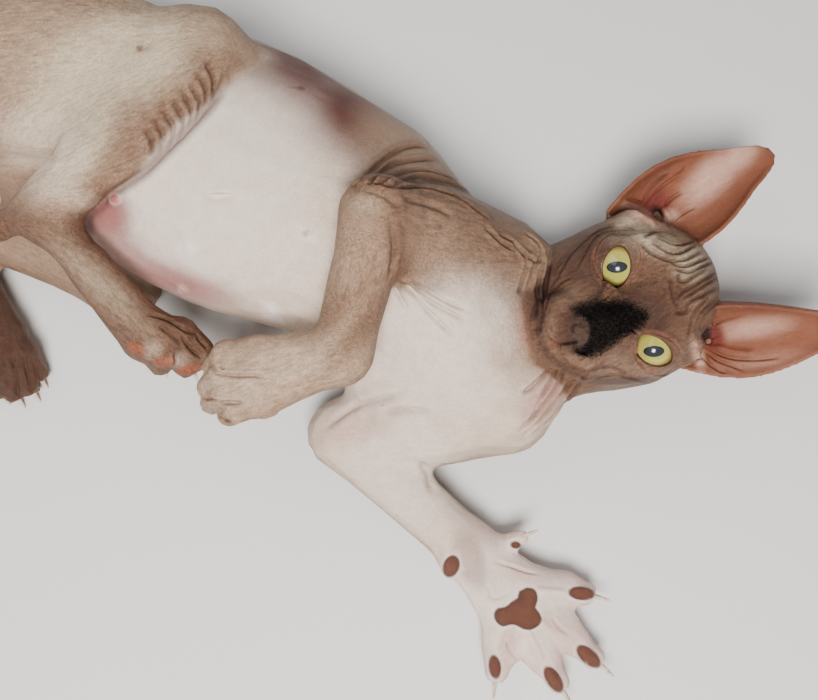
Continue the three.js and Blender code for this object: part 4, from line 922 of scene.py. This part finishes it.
# bands along traces: painted shade along the thigh's crease, the larger folds and wrinkles and the face's
# contour over the neck; a pink band on the lids, and the tear lines
traceBrushes = {
    "thighEdge": ("flank", 0.6, ("belly", "thigh_right", "rump"), 12, [folds["thighCrease"]["traces"][0]]),
    "ladder": ("brown", 0.6, legs, 6, folds["thighLadder"]["traces"]),
    "fan": ("brown", 0.6, trunk + ("upper_arm_right",), 10, folds["flank"]["traces"]),
    "neckFolds": ("dusk", 0.5, ("neck", "chest", "head"), 6, folds["neckRight"]["traces"]),
    "throatFolds": ("brown", 0.5, ("neck", "chest"), 6, folds["throatLeft"]["traces"]),
    "lidBand": ("lidPink", 0.3, ("head",), 4.5, folds["lids"]["traces"]),
    "forehead": ("umber", 0.6, ("head",), 4, folds["forehead"]["traces"]),
    "cheekLines": ("umber", 0.45, ("head",), 4, folds["cheeks"]["traces"]),
    "contour": ("dusk", 0.6, ("head", "neck"), 6, [headContour]),
    "tearRight": ("dusk", 0.9, ("head",), 4, [[(606, 283), (600, 292), (596, 303)]]),
    "tearLeft": ("dusk", 0.9, ("head",), 4, [[(634, 333), (626, 331), (616, 333)]]),
}
for tone, strength, nodes, reach, traces in traceBrushes.values():
    share = np.zeros(len(points))
    for trace in traces:
        share = np.maximum(share, overTrace(trace, reach))
    brush(tone, share * strength * on(*nodes) * inSight)

# ears: brown outside, the cup paler up the middle, dark round its edge, and painted shade deep in the canal
earStrength = {"outside": 0.6, "onHead": 0.95}
cup = isEar * smoothStep(0.0, 0.4, facing)
earBack = isEar * (1 - smoothStep(-0.2, 0.2, normals @ np.array(headForward)))
brush("taupe", earBack * earStrength["outside"])
earBrushes = {
    "rightPale": ("earPale", 0.9, 10, [(711, 178, 34, 15, -45), (738, 155, 24, 12, -45)]),
    "rightLower": ("ear", 0.8, 8, [(725, 210, 40, 8, -38)]),
    "rightUpper": ("earEdge", 0.5, 6, [(655, 176, 34, 7, -38)]),
    "rightDeep": ("earRed", 0.9, 8, [(653, 205, 18, 13, -40)]),
    "rightRidge": ("earPale", 0.9, 4, [(641, 216, 20, 6, 30)]),
    "rightKnob": ("earPale", 0.85, 4, [(671, 216, 8, 6, 0)]),
    "rightCanal": ("earDeep", 1.0, 3, [(658, 213, 8, 5, 62)]),
    "leftPale": ("earPale", 0.75, 7, [(752, 328, 34, 9, -8)]),
    "leftLower": ("earPale", 0.3, 8, [(760, 362, 40, 8, -8)]),
    "leftUpper": ("earEdge", 0.6, 5, [(765, 306, 40, 5, 2)]),
    "leftDeep": ("earRed", 0.95, 6, [(714, 337, 11, 13, 0)]),
    "leftRidge": ("earPale", 0.9, 4, [(698, 356, 15, 5, 75)]),
    "leftCanal": ("earDeep", 1.0, 3, [(706, 334, 5, 8, 0)]),
}
earAndHead = np.maximum(cup, on("head") * earStrength["onHead"] * inSight)
for tone, strength, soft, ovals in earBrushes.values():
    brush(tone, overOvals(ovals, soft) * strength * earAndHead)

# the dark fuzz over the bridge of the nose, the nose leather, the wet lip and painted shade in the slit of
# the mouth
noseFuzz = {
    "outline": [
        (573, 309), (583, 304), (597, 301), (613, 301), (631, 304), (645, 313), (644, 322),
        (631, 332), (617, 341), (605, 350), (592, 357), (580, 355), (574, 348), (580, 330),
    ],
    "soft": 6,
    "strength": 0.97,
    "leather": (579, 332, 10, 15, 0),
    "leatherSoft": 4,
}
leather = overOval(picture, noseFuzz["leather"], noseFuzz["leatherSoft"])
onHead = on("head")
fuzzShare = overOutline(picture, noseFuzz["outline"], noseFuzz["soft"]) * onHead * inSight
fuzzShare = fuzzShare * (1 - leather)
brush("black", fuzzShare * noseFuzz["strength"])
muzzleBrushes = {
    "noseLeather": ("nose", 0.85, 4, [(579, 332, 9, 14, 0)]),
    "lowerLip": ("lip", 0.3, 3, [(553, 345, 4, 6, 15)]),
    # painted shade in the slit of the mouth
    "mouthDark": ("black", 0.7, 2, [(567, 343, 9, 2.2, -5)]),
}
for tone, strength, soft, ovals in muzzleBrushes.values():
    brush(tone, overOvals(ovals, soft) * strength * onHead * inSight)

# pads: the left palm's are brown, the right hind foot's are pink
padStrength = {"rim": 0.6, "edge": 0.97, "inside": 0.5, "pink": 0.6, "leftHind": 0.35}
leftHindSole = np.array([0.3, 0.5, 0.8])
onPalm = on("forepaw_left", "forearm_left")
palmMiddle = fineForms["leftPalm"][0]
padBody = padShare(points, normals, palmPads, palmMiddle, 0.9)
padRim = padShare(points, normals, palmPads, palmMiddle, 1.6, 2.2)
padInside = padShare(points, normals, palmPads, palmMiddle, 2.2, -2)
pinkPads = padShare(points, normals, feetPads, fineForms["rightHindFoot"][0], 1.4)
brush("halo", (padRim - padBody) * padStrength["rim"] * onPalm)
brush("padEdge", padBody * onPalm * padStrength["edge"])
brush("pad", padInside * onPalm * padStrength["inside"])
brush("padPink", pinkPads * padStrength["pink"])
leftHindPads = smoothStep(0.2, 0.6, -normals @ leftHindSole)
brush("pad", leftHindPads * on("hind_foot_left") * padStrength["leftHind"])

nipples = {
    "pinkWithHalo": {"at": [(220, 197)], "halo": 10, "core": 4.2, "strength": 0.8, "height": 1.4},
    "dark": {"at": [(116, 199)], "halo": 5, "core": 4.2, "strength": 0.9, "height": 1.2},
    "paleOnes": {"at": [(188, 250), (270, 311)], "halo": 9, "core": 2.2, "strength": 0.3, "height": 1.5},
    "paleWithCore": {"at": [(306, 234)], "halo": 9, "core": 3.2, "strength": 0.55, "height": 1.5},
    "tiny": {"at": [(182, 289)], "halo": 3, "core": 2.4, "strength": 0.8, "height": 0.8},
}
nippleRise = np.zeros(len(points))
onTrunk = on(*trunk) * inSight
for nipple in nipples.values():
    for x, y in nipple["at"]:
        halo, core = nipple["halo"], nipple["core"]
        brush("halo", overOval(picture, (x, y, halo, halo, 0), halo * 0.6) * 0.75 * onTrunk)
        brush("nipple", overOval(picture, (x, y, core, core, 0), 1.3) * nipple["strength"] * onTrunk)
        swell = overOval(picture, (x, y, core + 2.2, core + 2.2, 0), core + 1.5)
        nippleRise = np.maximum(nippleRise, swell * nipple["height"] * onTrunk)
smallMarks = {"scab": (140, 49, 4, 3, 20), "mark": (301, 89, 3.6, 2.8, 0), "toeNail": (228, 421, 4, 2, 10)}
for oval in smallMarks.values():
    brush("scab", overOval(picture, oval, 1.4) * 0.75 * inSight)
wristKnob = {"oval": (301, 341, 7, 6, 0), "soft": 3, "strength": 0.8}
onWrist = on("forearm_right", "forepaw_right") * inSight * wristKnob["strength"]
brush("sand", overOval(picture, wristKnob["oval"], wristKnob["soft"]) * onWrist)

# how leathery the skin is: most on the head and limbs, least on the belly and the palm
leatheryLook = {"elsewhere": 0.55, "least": 0.55, "byDarkness": 0.75, "underFuzz": 0.7, "stretch": 0.72}
leathery = np.full(len(points), leatheryLook["elsewhere"])
rightForeleg = ("upper_arm_right", "forearm_right", "forepaw_right")
rightHindLeg = ("thigh_right", "shin_right", "hind_foot_right")
roughParts = {
    1.0: ("head",),
    0.85: rightForeleg + rightHindLeg,
    0.65: ("neck", "tail_base", "tail_middle", "tail_tip"),
    0.12: ("belly", "forepaw_left"),
    0.3: ("chest", "upper_arm_left", "forearm_left", "rump"),
    0.22: ("ear_right", "ear_left"),
}
for share, names in roughParts.items():
    leathery[np.isin(ownerOf, [fleshNodes.index(name) for name in names])] = share
leathery = softened(leathery, 14)
darkness = 1 - np.clip(paint.mean(1) / linear("pale").mean(), 0, 1)
leathery = leathery * (leatheryLook["least"] + leatheryLook["byDarkness"] * darkness)
leathery = np.clip(leathery, 0, 1) * (1 - fuzzShare * leatheryLook["underFuzz"])
# the grain runs along each limb: its own coordinates are shortened lengthwise
axes, middles = [], []
for name in fleshNodes:
    cloud = np.array([tuple(v.co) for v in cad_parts[name].data.vertices])
    middles.append(cloud.mean(0))
    axis = np.linalg.svd(cloud - cloud.mean(0), full_matrices=False)[2][0]
    axes.append(axis * (1 if axis[0] > 0 else -1))
axes[fleshNodes.index("head")] = np.array(headUp)
grainAxis = softened(np.array(axes)[ownerOf], 10)
grainMiddle = softened(np.array(middles)[ownerOf], 10)
lengthwise = ((points - grainMiddle) * grainAxis).sum(1)[:, None] * grainAxis
writeVectors(skin, "grain", (points - leatheryLook["stretch"] * lengthwise) / mm)
leatheryLayer = skin.data.attributes.new("leathery", "FLOAT", "POINT")
leatheryLayer.data.foreach_set("value", leathery.astype(np.float32))

# painted shade along the bottom of every fold, in the nostrils, the mouth and the ear canals
push, dark = foldShape(points)
foldShadeStrength = 0.85
brush("fold", dark * foldShadeStrength)
layer = skin.data.attributes.new("paint", "FLOAT_COLOR", "POINT")
colours = np.concatenate([paint, np.ones((len(paint), 1))], 1)
layer.data.foreach_set("color", colours.astype(np.float32).ravel())
writePoints(skin, points + normals * (nippleRise * mm)[:, None])
print("skin painted")


def shaderOf(material, roughness, **sockets):
    material.use_nodes = True
    shader = material.node_tree.nodes["Principled BSDF"]
    shader.inputs["Roughness"].default_value = roughness
    for name, value in sockets.items():
        shader.inputs[name.replace("_", " ")].default_value = value
    return shader


def addNode(material, kind, **settings):
    node = material.node_tree.nodes.new(kind)
    for name, value in settings.items():
        if name in node.inputs:
            node.inputs[name].default_value = value
        else:
            setattr(node, name, value)
    return node


def link(material, source, target):
    material.node_tree.links.new(source, target)


def ramp(material, source, stops):
    node = addNode(material, "ShaderNodeValToRGB")
    for i, (stop, colour) in enumerate(stops):
        element = node.color_ramp.elements[i] if i < 2 else node.color_ramp.elements.new(stop)
        element.position = stop
        element.color = (*colour, 1)
    link(material, source, node.inputs["Fac"])
    return node.outputs["Color"]


def give(material, value, socket):
    # a number is set on the socket, anything else is linked to it
    if isinstance(value, (int, float)):
        socket.default_value = value
    else:
        link(material, value, socket)


def mixed(material, kind, factor, first, second):
    node = addNode(material, "ShaderNodeMix", data_type="RGBA", blend_type=kind)
    give(material, factor, node.inputs["Factor"])
    link(material, first, node.inputs["A"])
    link(material, second, node.inputs["B"])
    return node.outputs["Result"]


def mathOf(material):
    def calculate(operation, *values):
        node = addNode(material, "ShaderNodeMath", operation=operation)
        for number, value in enumerate(values):
            give(material, value, node.inputs[number])
        return node.outputs["Value"]

    return calculate


# Living skin: mottled, pored, finely lined, and a little see-through
skinLook = {
    "roughness": 0.52,
    "seeThrough": 0.18,
    "seeThroughDepth": 0.004,
    "seeThroughRed": (1.0, 0.36, 0.2),
    "creaseWidth": 0.16,
    "fineCreaseWidth": 0.2,
    "specular": 0.35,
    "mottleScale": 900,
    "blotchScale": 150,
    "downScale": 3600,
    "creaseScale": 520,
    "fineCreaseScale": 1200,
    "grainScale": 0.62,
    "mottleShare": (0.35, 0.2),
    "streakShare": (0.9, 0.0),
    "lineShare": (0.35, 0.0),
    "blotchShare": (0.2, 0.35),
    "creaseRelief": (0.35, 0.0),
    "streakRelief": (2.2, 0.2),
    "fineCreaseRelief": (0.4, 0.1),
    "wander": 0.0016,
    "bump": 0.55,
    "bumpHeight": 0.0008,
}
skinMaterial = bpy.data.materials.new("catSkin")
skinShader = shaderOf(skinMaterial, skinLook["roughness"])
skinShader.inputs["Subsurface Weight"].default_value = skinLook["seeThrough"]
skinShader.inputs["Subsurface Scale"].default_value = skinLook["seeThroughDepth"]
skinShader.inputs["Subsurface Radius"].default_value = skinLook["seeThroughRed"]
skinShader.inputs["Specular IOR Level"].default_value = skinLook["specular"]
place = addNode(skinMaterial, "ShaderNodeTexCoord").outputs["Object"]
painted = addNode(skinMaterial, "ShaderNodeAttribute", attribute_name="paint").outputs["Color"]
leatheryAt = addNode(skinMaterial, "ShaderNodeAttribute", attribute_name="leathery").outputs["Fac"]


def noiseOf(material, at, scale, fineness, roughness):
    node = addNode(material, "ShaderNodeTexNoise", Scale=scale, Detail=fineness, Roughness=roughness)
    link(material, at, node.inputs["Vector"])
    return node


mottleNoise = noiseOf(skinMaterial, place, skinLook["mottleScale"], 6, 0.7)
blotchNoise = noiseOf(skinMaterial, place, skinLook["blotchScale"], 4, 0.6)
downNoise = noiseOf(skinMaterial, place, skinLook["downScale"], 3, 0.6)
# the creases wander: their cells are looked up a little way off, by the mottle's own noise
wander = addNode(skinMaterial, "ShaderNodeVectorMath", operation="MULTIPLY_ADD")
link(skinMaterial, mottleNoise.outputs["Color"], wander.inputs[0])
wander.inputs[1].default_value = (skinLook["wander"],) * 3
link(skinMaterial, place, wander.inputs[2])


def creases(scale, width):
    cells = addNode(skinMaterial, "ShaderNodeTexVoronoi", feature="DISTANCE_TO_EDGE", Scale=scale)
    link(skinMaterial, wander.outputs["Vector"], cells.inputs["Vector"])
    span = addNode(skinMaterial, "ShaderNodeMapRange", interpolation_type="SMOOTHSTEP")
    span.inputs["From Max"].default_value = width
    link(skinMaterial, cells.outputs["Distance"], span.inputs["Value"])
    return span.outputs["Result"]


skinMath = mathOf(skinMaterial)
grainAt = addNode(skinMaterial, "ShaderNodeAttribute", attribute_name="grain").outputs["Vector"]
streaks = noiseOf(skinMaterial, grainAt, skinLook["grainScale"], 5, 0.72)
broadCreases = creases(skinLook["creaseScale"], skinLook["creaseWidth"])
fineCreases = creases(skinLook["fineCreaseScale"], skinLook["fineCreaseWidth"])
bothCreases = skinMath("MULTIPLY", broadCreases, fineCreases)
skinStops = {
    "streaks": [(0.36, (0.56, 0.47, 0.42)), (0.6, (1.12, 1.1, 1.07))],
    "mottle": [(0.36, (0.6, 0.5, 0.44)), (0.62, (1.1, 1.08, 1.05))],
    "blotches": [(0.35, (0.86, 0.77, 0.73)), (0.62, (1.05, 1.05, 1.05))],
    "lines": [(0.0, (0.6, 0.5, 0.45)), (0.8, (1, 1, 1))],
}
streaky = ramp(skinMaterial, streaks.outputs["Fac"], skinStops["streaks"])
mottle = ramp(skinMaterial, mottleNoise.outputs["Fac"], skinStops["mottle"])
blotches = ramp(skinMaterial, blotchNoise.outputs["Fac"], skinStops["blotches"])
# the crease lines are darkened in colour as painted shade, besides the bump they give below
lines = ramp(skinMaterial, bothCreases, skinStops["lines"])


# each texture's share grows with how leathery the skin is, from the second number by the first
mottled = painted
for texture, (growth, least) in (
    (mottle, skinLook["mottleShare"]),
    (streaky, skinLook["streakShare"]),
    (lines, skinLook["lineShare"]),
    (blotches, skinLook["blotchShare"]),
):
    share = skinMath("MULTIPLY_ADD", leatheryAt, growth, least)
    mottled = mixed(skinMaterial, "MULTIPLY", share, mottled, texture)
link(skinMaterial, mottled, skinShader.inputs["Base Color"])
relief = downNoise.outputs["Fac"]
for height, (growth, least) in (
    (broadCreases, skinLook["creaseRelief"]),
    (streaks.outputs["Fac"], skinLook["streakRelief"]),
    (fineCreases, skinLook["fineCreaseRelief"]),
):
    relief = skinMath("MULTIPLY_ADD", height, skinMath("MULTIPLY_ADD", leatheryAt, growth, least), relief)
skinBump = addNode(skinMaterial, "ShaderNodeBump")
skinBump.inputs["Strength"].default_value = skinLook["bump"]
skinBump.inputs["Distance"].default_value = skinLook["bumpHeight"]
link(skinMaterial, relief, skinBump.inputs["Height"])
link(skinMaterial, skinBump.outputs["Normal"], skinShader.inputs["Normal"])
skin.data.materials.clear()
skin.data.materials.append(skinMaterial)
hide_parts(*fleshNodes)
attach(skin, "root")
print("skin finished")

# Eyes: a ball with a raised cornea, and a dark wet rim along the lids
eyeLook = {
    "pupilHalf": (2.5, 4.5),
    "iris": 9.2,
    "corneaReach": 8.6,
    "corneaRise": 1.1,
    "gaze": (0.4, 0.2),
    "turn": 22,
    "fibreScale": 0.9,
    "rim": 1.05,
    "rimOut": 0.3,
}
opening = {"half": 10, "rise": 6.6, "slant": 0.34, "inner": -2.2, "outer": 1.4}
eyeMaterial = bpy.data.materials.new("catEye")
eyeShader = shaderOf(eyeMaterial, 0.2, Coat_Weight=1.0, Coat_Roughness=0.02)
gazeAt = addNode(eyeMaterial, "ShaderNodeAttribute", attribute_name="gaze").outputs["Vector"]
splitGaze = addNode(eyeMaterial, "ShaderNodeSeparateXYZ")
link(eyeMaterial, gazeAt, splitGaze.inputs["Vector"])


eyeMath = mathOf(eyeMaterial)


def lengthOf(a, b):
    return eyeMath("SQRT", eyeMath("ADD", eyeMath("MULTIPLY", a, a), eyeMath("MULTIPLY", b, b)))


sideways, upright = splitGaze.outputs["X"], splitGaze.outputs["Y"]
fromMiddle = eyeMath("DIVIDE", lengthOf(sideways, upright), eyeLook["iris"])
halfWide, halfTall = eyeLook["pupilHalf"]
fromPupil = lengthOf(eyeMath("DIVIDE", sideways, halfWide), eyeMath("DIVIDE", upright, halfTall))
fibres = noiseOf(eyeMaterial, gazeAt, eyeLook["fibreScale"], 6, 0.7)
irisStops = [
    (0.0, (0.24, 0.27, 0.05)),
    (0.3, (0.36, 0.35, 0.06)),
    (0.68, (0.48, 0.42, 0.09)),
    (0.88, (0.30, 0.23, 0.05)),
    (0.98, (0.05, 0.03, 0.015)),
]
iris = ramp(eyeMaterial, fromMiddle, irisStops)
iris = mixed(eyeMaterial, "OVERLAY", 0.45, iris, fibres.outputs["Color"])
# the pupil is near black with a faint blue-grey painted reflection, black at its rim
pupilStops = [(0.0, (0.012, 0.016, 0.022)), (0.8, (0.02, 0.026, 0.034)), (1.0, (0, 0, 0))]
pupil = ramp(eyeMaterial, fromPupil, pupilStops)
pupilMask = addNode(eyeMaterial, "ShaderNodeMapRange", interpolation_type="SMOOTHSTEP")
pupilMask.inputs["From Min"].default_value = 0.95
pupilMask.inputs["From Max"].default_value = 1.06
link(eyeMaterial, fromPupil, pupilMask.inputs["Value"])
wholeEye = addNode(eyeMaterial, "ShaderNodeMix", data_type="RGBA")
link(eyeMaterial, pupilMask.outputs["Result"], wholeEye.inputs["Factor"])
link(eyeMaterial, pupil, wholeEye.inputs["A"])
link(eyeMaterial, iris, wholeEye.inputs["B"])
link(eyeMaterial, wholeEye.outputs["Result"], eyeShader.inputs["Base Color"])


def grained(name, roughness, scale, dark, light, **sockets):
    material = bpy.data.materials.new(name)
    shader = shaderOf(material, roughness, **sockets)
    at = addNode(material, "ShaderNodeTexCoord").outputs["Object"]
    grain = noiseOf(material, at, scale, 4, 0.5)
    colour = ramp(material, grain.outputs["Fac"], [(0.3, dark), (0.7, light)])
    link(material, colour, shader.inputs["Base Color"])
    return material


rimMaterial = grained("lidRim", 0.3, 700, (0.03, 0.014, 0.01), (0.11, 0.05, 0.032))


def tube(name, ways, radii, material, closed=False, sides=3):
    # tubes along several ways, made as one curve object and turned into a mesh
    data = bpy.data.curves.new(name, "CURVE")
    data.dimensions = "3D"
    data.bevel_depth = 1
    data.bevel_resolution = sides
    data.use_fill_caps = not closed
    for way, radius in zip(ways, radii):
        spline = data.splines.new("POLY")
        spline.points.add(len(way) - 1)
        for i, p in enumerate(way):
            spline.points[i].co = (*p, 1)
            spline.points[i].radius = radius[i] if isinstance(radius, (list, np.ndarray)) else radius
        spline.use_cyclic_u = closed
    thing = bpy.data.objects.new(name, data)
    bpy.context.scene.collection.objects.link(thing)
    choose(thing)
    bpy.ops.object.convert(target="MESH")
    thing = bpy.context.object
    thing.name = name
    bpy.ops.object.mode_set(mode="EDIT")
    bpy.ops.mesh.select_all(action="SELECT")
    bpy.ops.mesh.remove_doubles(threshold=0.000005)
    bpy.ops.mesh.normals_make_consistent(inside=False)
    bpy.ops.object.mode_set(mode="OBJECT")
    bpy.ops.object.shade_smooth()
    thing.data.materials.append(material)
    return thing


def bezier(a, b, c, d, count):
    a, b, c, d = (np.array(p) for p in (a, b, c, d))
    steps = np.arange(count)[:, None] / count
    rest = 1 - steps
    return list(rest**3 * a + 3 * steps * rest**2 * b + 3 * steps**2 * rest * c + steps**3 * d)


half, rise = opening["half"], opening["rise"]
innerCorner, outerCorner = (-half, opening["inner"]), (half, opening["outer"])
lidLoop = bezier(innerCorner, (-0.82 * half, 1.24 * rise), (0.76 * half, 1.45 * rise), outerCorner, 22)
lidLoop += bezier(outerCorner, (0.82 * half, -1.3 * rise), (-0.74 * half, -1.45 * rise), innerCorner, 22)
eyeballUnits = eyeRadius / headUnit
turned = Matrix((headRight, headUp, headForward)).transposed()
for side in ("right", "left"):
    sign = 1 if side == "right" else -1
    deselectAll()
    bpy.ops.mesh.primitive_uv_sphere_add(segments=72, ring_count=48, radius=eyeRadius)
    ball = bpy.context.object
    ball.name = "eyeball_" + side
    ball.location = eyeMiddles[side]
    ball.rotation_euler = turned.to_euler()
    bpy.ops.object.transform_apply(location=True, rotation=True, scale=True)
    bpy.ops.object.shade_smooth()
    corners = readPoints(ball)
    local = (corners - np.array(eyeMiddles[side])) @ np.array([headRight, headUp, headForward]).T / headUnit
    gazed = local[:, :2] - np.array([eyeLook["gaze"][0] * sign, eyeLook["gaze"][1]])
    turnBy = math.radians(eyeLook["turn"])
    turning = np.array([[math.cos(turnBy), -math.sin(turnBy)], [math.sin(turnBy), math.cos(turnBy)]])
    gazed = gazed @ turning
    reach = np.linalg.norm(local[:, :2], axis=1)
    rising = eyeLook["corneaRise"] * (1 - smoothStep(0, eyeLook["corneaReach"], reach)) * (local[:, 2] > 0)
    writePoints(ball, corners + np.array(headForward) * (rising * headUnit)[:, None])
    writeVectors(ball, "gaze", np.column_stack([gazed, local[:, 2]]))
    ball.data.materials.append(eyeMaterial)
    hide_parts("eye_" + side)
    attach(ball, "root")
    loop = []
    for du, dv in lidLoop:
        u = du * math.cos(opening["slant"]) - dv * math.sin(opening["slant"])
        v = du * math.sin(opening["slant"]) + dv * math.cos(opening["slant"])
        out = math.sqrt(max(1, (eyeballUnits + 0.15) ** 2 - u * u - v * v)) + eyeLook["rimOut"]
        onLid = eyeMiddles[side] + (headRight * u * sign + headUp * v + headForward * out) * headUnit
        loop.append(np.array(onLid))
    rim = tube("lid_rim_" + side, [loop], [eyeLook["rim"] * mm], rimMaterial, closed=True, sides=3)
    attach(rim, "root")
print("eyes set")

# Claws: curved, ivory, on every toe and the left dewclaw
clawLook = {
    "length": 10.5,
    "hindShare": 0.7,  # of that length, on the hind feet
    "sunk": 1.2,
    "bendAt": 0.62,
    "tipAt": 0.93,
    "root": 1.35,
    "tip": 0.06,
    "hook": 0.34,
    "taper": 0.5,
    "steps": 14,
}
clawMaterial = grained("claw", 0.28, 500, (0.5, 0.36, 0.24), (0.84, 0.74, 0.6), Subsurface_Weight=0.3)
clawMaterial.node_tree.nodes["Principled BSDF"].inputs["Subsurface Scale"].default_value = 0.002
clawDown = {
    "rightForepaw": (-0.2, 0, -0.98),
    "leftForepaw": (0, 0, 1),
    "rightHindFoot": (-0.2, -0.41, -0.89),
    "leftHindFoot": (0, 0, -1),
}
dewclaw = ((54, -86.8, 17), (0.8, 0.35, 0.3))
for foot, claws in clawRoots.items():
    ways, radii = [], []
    places = claws + ([dewclaw] if foot == "leftForepaw" else [])
    length = clawLook["length"] * (clawLook["hindShare"] if "Hind" in foot else 1) * mm
    down = np.array(clawDown[foot])
    for root, direction in places:
        root = np.array(drawn(*root))
        direction = np.array(direction) / np.linalg.norm(direction)
        start = root - direction * clawLook["sunk"] * mm
        bend = root + direction * clawLook["bendAt"] * length
        tip = root + direction * clawLook["tipAt"] * length + down * clawLook["hook"] * length
        steps = np.linspace(0, 1, clawLook["steps"])
        ways.append([(1 - t) ** 2 * start + 2 * t * (1 - t) * bend + t * t * tip for t in steps])
        narrowing = (1 - steps) ** clawLook["taper"]
        radii.append((clawLook["root"] * narrowing + clawLook["tip"]) * mm)
    piece = tube("claws_" + foot, ways, radii, clawMaterial)
    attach(piece, "root")
print("claws set")

# Short dark fuzz over the bridge of the nose, each hair rooted in the skin and combed up the face
fuzz = {
    "hairs": 6500,
    "length": 1.5,
    "thick": 0.07,
    "lift": 0.3,
    "stray": 0.45,
    "seed": 7,
    "patch": 0.0028,
    "axisBehind": 60,
    "unwrapTall": 120,
}
fuzzMaterial = grained("noseFuzz", 0.9, 1500, (0.003, 0.002, 0.002), (0.01, 0.007, 0.006))
fuzzMaterial.node_tree.nodes["Principled BSDF"].inputs["Specular IOR Level"].default_value = 0.04
chance = np.random.default_rng(fuzz["seed"])
points = readPoints(skin)
normals = readNormals(skin)
skin.data.calc_loop_triangles()
triangles = np.empty(len(skin.data.loop_triangles) * 3, np.int64)
skin.data.loop_triangles.foreach_get("vertices", triangles)
triangles = triangles.reshape(-1, 3)
picks = fuzzShare[triangles].mean(1)
first, second, third = (points[triangles[:, k]] for k in range(3))
picks = np.linalg.norm(np.cross(second - first, third - first), axis=1) * picks
chosen = chance.choice(len(triangles), fuzz["hairs"], p=picks / picks.sum())
parts = chance.dirichlet((1, 1, 1), fuzz["hairs"])
roots = (points[triangles[chosen]] * parts[:, :, None]).sum(1)
out = (normals[triangles[chosen]] * parts[:, :, None]).sum(1)
out /= np.linalg.norm(out, axis=1)[:, None]
combed = np.array(headUp) - out * (out @ np.array(headUp))[:, None]
combed += chance.normal(0, fuzz["stray"], combed.shape)
combed -= out * (combed * out).sum(1)[:, None]
combed /= np.linalg.norm(combed, axis=1)[:, None]
aside = np.cross(out, combed)
lengths = fuzz["length"] * mm * chance.uniform(0.6, 1.15, fuzz["hairs"])[:, None]
thick = fuzz["thick"] * mm
# along the hair, its width there, and how far it has bent over
stages = [(-0.12, 1.0, 0.0), (0.5, 0.8, 0.62), (1.0, 0.0, 1.0)]
corners = []
for along, width, lying in stages:
    middle = roots + lengths * along * (combed * (0.5 + 0.5 * lying) + out * fuzz["lift"] * (1.4 - lying))
    ringSize = 3 if width else 1
    for k in range(ringSize):
        turn = 2 * math.pi * k / 3
        corners.append(middle + (aside * math.cos(turn) + out * math.sin(turn)) * thick * width)
allHairs = np.stack(corners, 1)
hairFaces = [(0, 1, 4, 3), (1, 2, 5, 4), (2, 0, 3, 5), (3, 4, 6), (4, 5, 6), (5, 3, 6)]
# the unwrap lays the face out by turn about the head's own upright axis and by height
rootsInHead = (roots - np.array(headOrigin)) @ np.array([headRight, headUp, headForward]).T / headUnit
turnAbout = np.arctan2(rootsInHead[:, 0], rootsInHead[:, 2] + fuzz["axisBehind"]) / math.pi + 0.5
heightUp = rootsInHead[:, 1] / fuzz["unwrapTall"] + 0.5
hairMesh = bpy.data.meshes.new("nose_fuzz")
flatFaces = [tuple(hair * 7 + k for k in face) for hair in range(fuzz["hairs"]) for face in hairFaces]
hairMesh.from_pydata(allHairs.reshape(-1, 3).tolist(), [], flatFaces)
baked = hairMesh.uv_layers.new(name="OFBake")
patch = np.array([(0, 0), (0.5, 0), (1, 0), (0, 0.5), (0.5, 0.5), (1, 0.5), (0.5, 1)]) * fuzz["patch"]
loopCorners = np.array([k for face in flatFaces for k in face])
ofHair, ofCorner = loopCorners // 7, loopCorners % 7
bakedAt = np.stack([turnAbout[ofHair], heightUp[ofHair]], 1) + patch[ofCorner]
baked.data.foreach_set("uv", bakedAt.astype(np.float32).ravel())
hairs = bpy.data.objects.new("nose_fuzz", hairMesh)
bpy.context.scene.collection.objects.link(hairs)
choose(hairs)
bpy.ops.object.shade_smooth()
hairMesh.materials.append(fuzzMaterial)
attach(hairs, "root")
print("fuzz combed")

# A plain pale floor and soft studio lights
floorMaterial = grained("paleFloor", 0.9, 3, (0.73, 0.72, 0.7), (0.75, 0.74, 0.72))
deselectAll()
bpy.ops.mesh.primitive_plane_add(size=8)
floor = bpy.context.object
floor.name = "floor"
floor.data.materials.append(floorMaterial)
softLights = {
    "key": {"at": (0.0, -0.62, 1.1), "size": 0.5, "power": 29, "colour": (1, 0.975, 0.94)},
    "fill": {"at": (-0.7, 0.6, 1.2), "size": 1.2, "power": 6, "colour": (0.95, 0.97, 1)},
}
for name, light in softLights.items():
    data = bpy.data.lights.new(name, "AREA")
    data.shape = "SQUARE"
    data.size = light["size"]
    data.energy = light["power"]
    data.color = light["colour"]
    lamp = bpy.data.objects.new(name, data)
    lamp.location = light["at"]
    lamp.rotation_euler = (-Vector(light["at"])).to_track_quat("-Z", "Y").to_euler()
    bpy.context.scene.collection.objects.link(lamp)
world = bpy.data.worlds.new("studio")
world.use_nodes = True
world.node_tree.nodes["Background"].inputs["Color"].default_value = (0.95, 0.96, 1, 1)
world.node_tree.nodes["Background"].inputs["Strength"].default_value = 0.26
bpy.context.scene.world = world
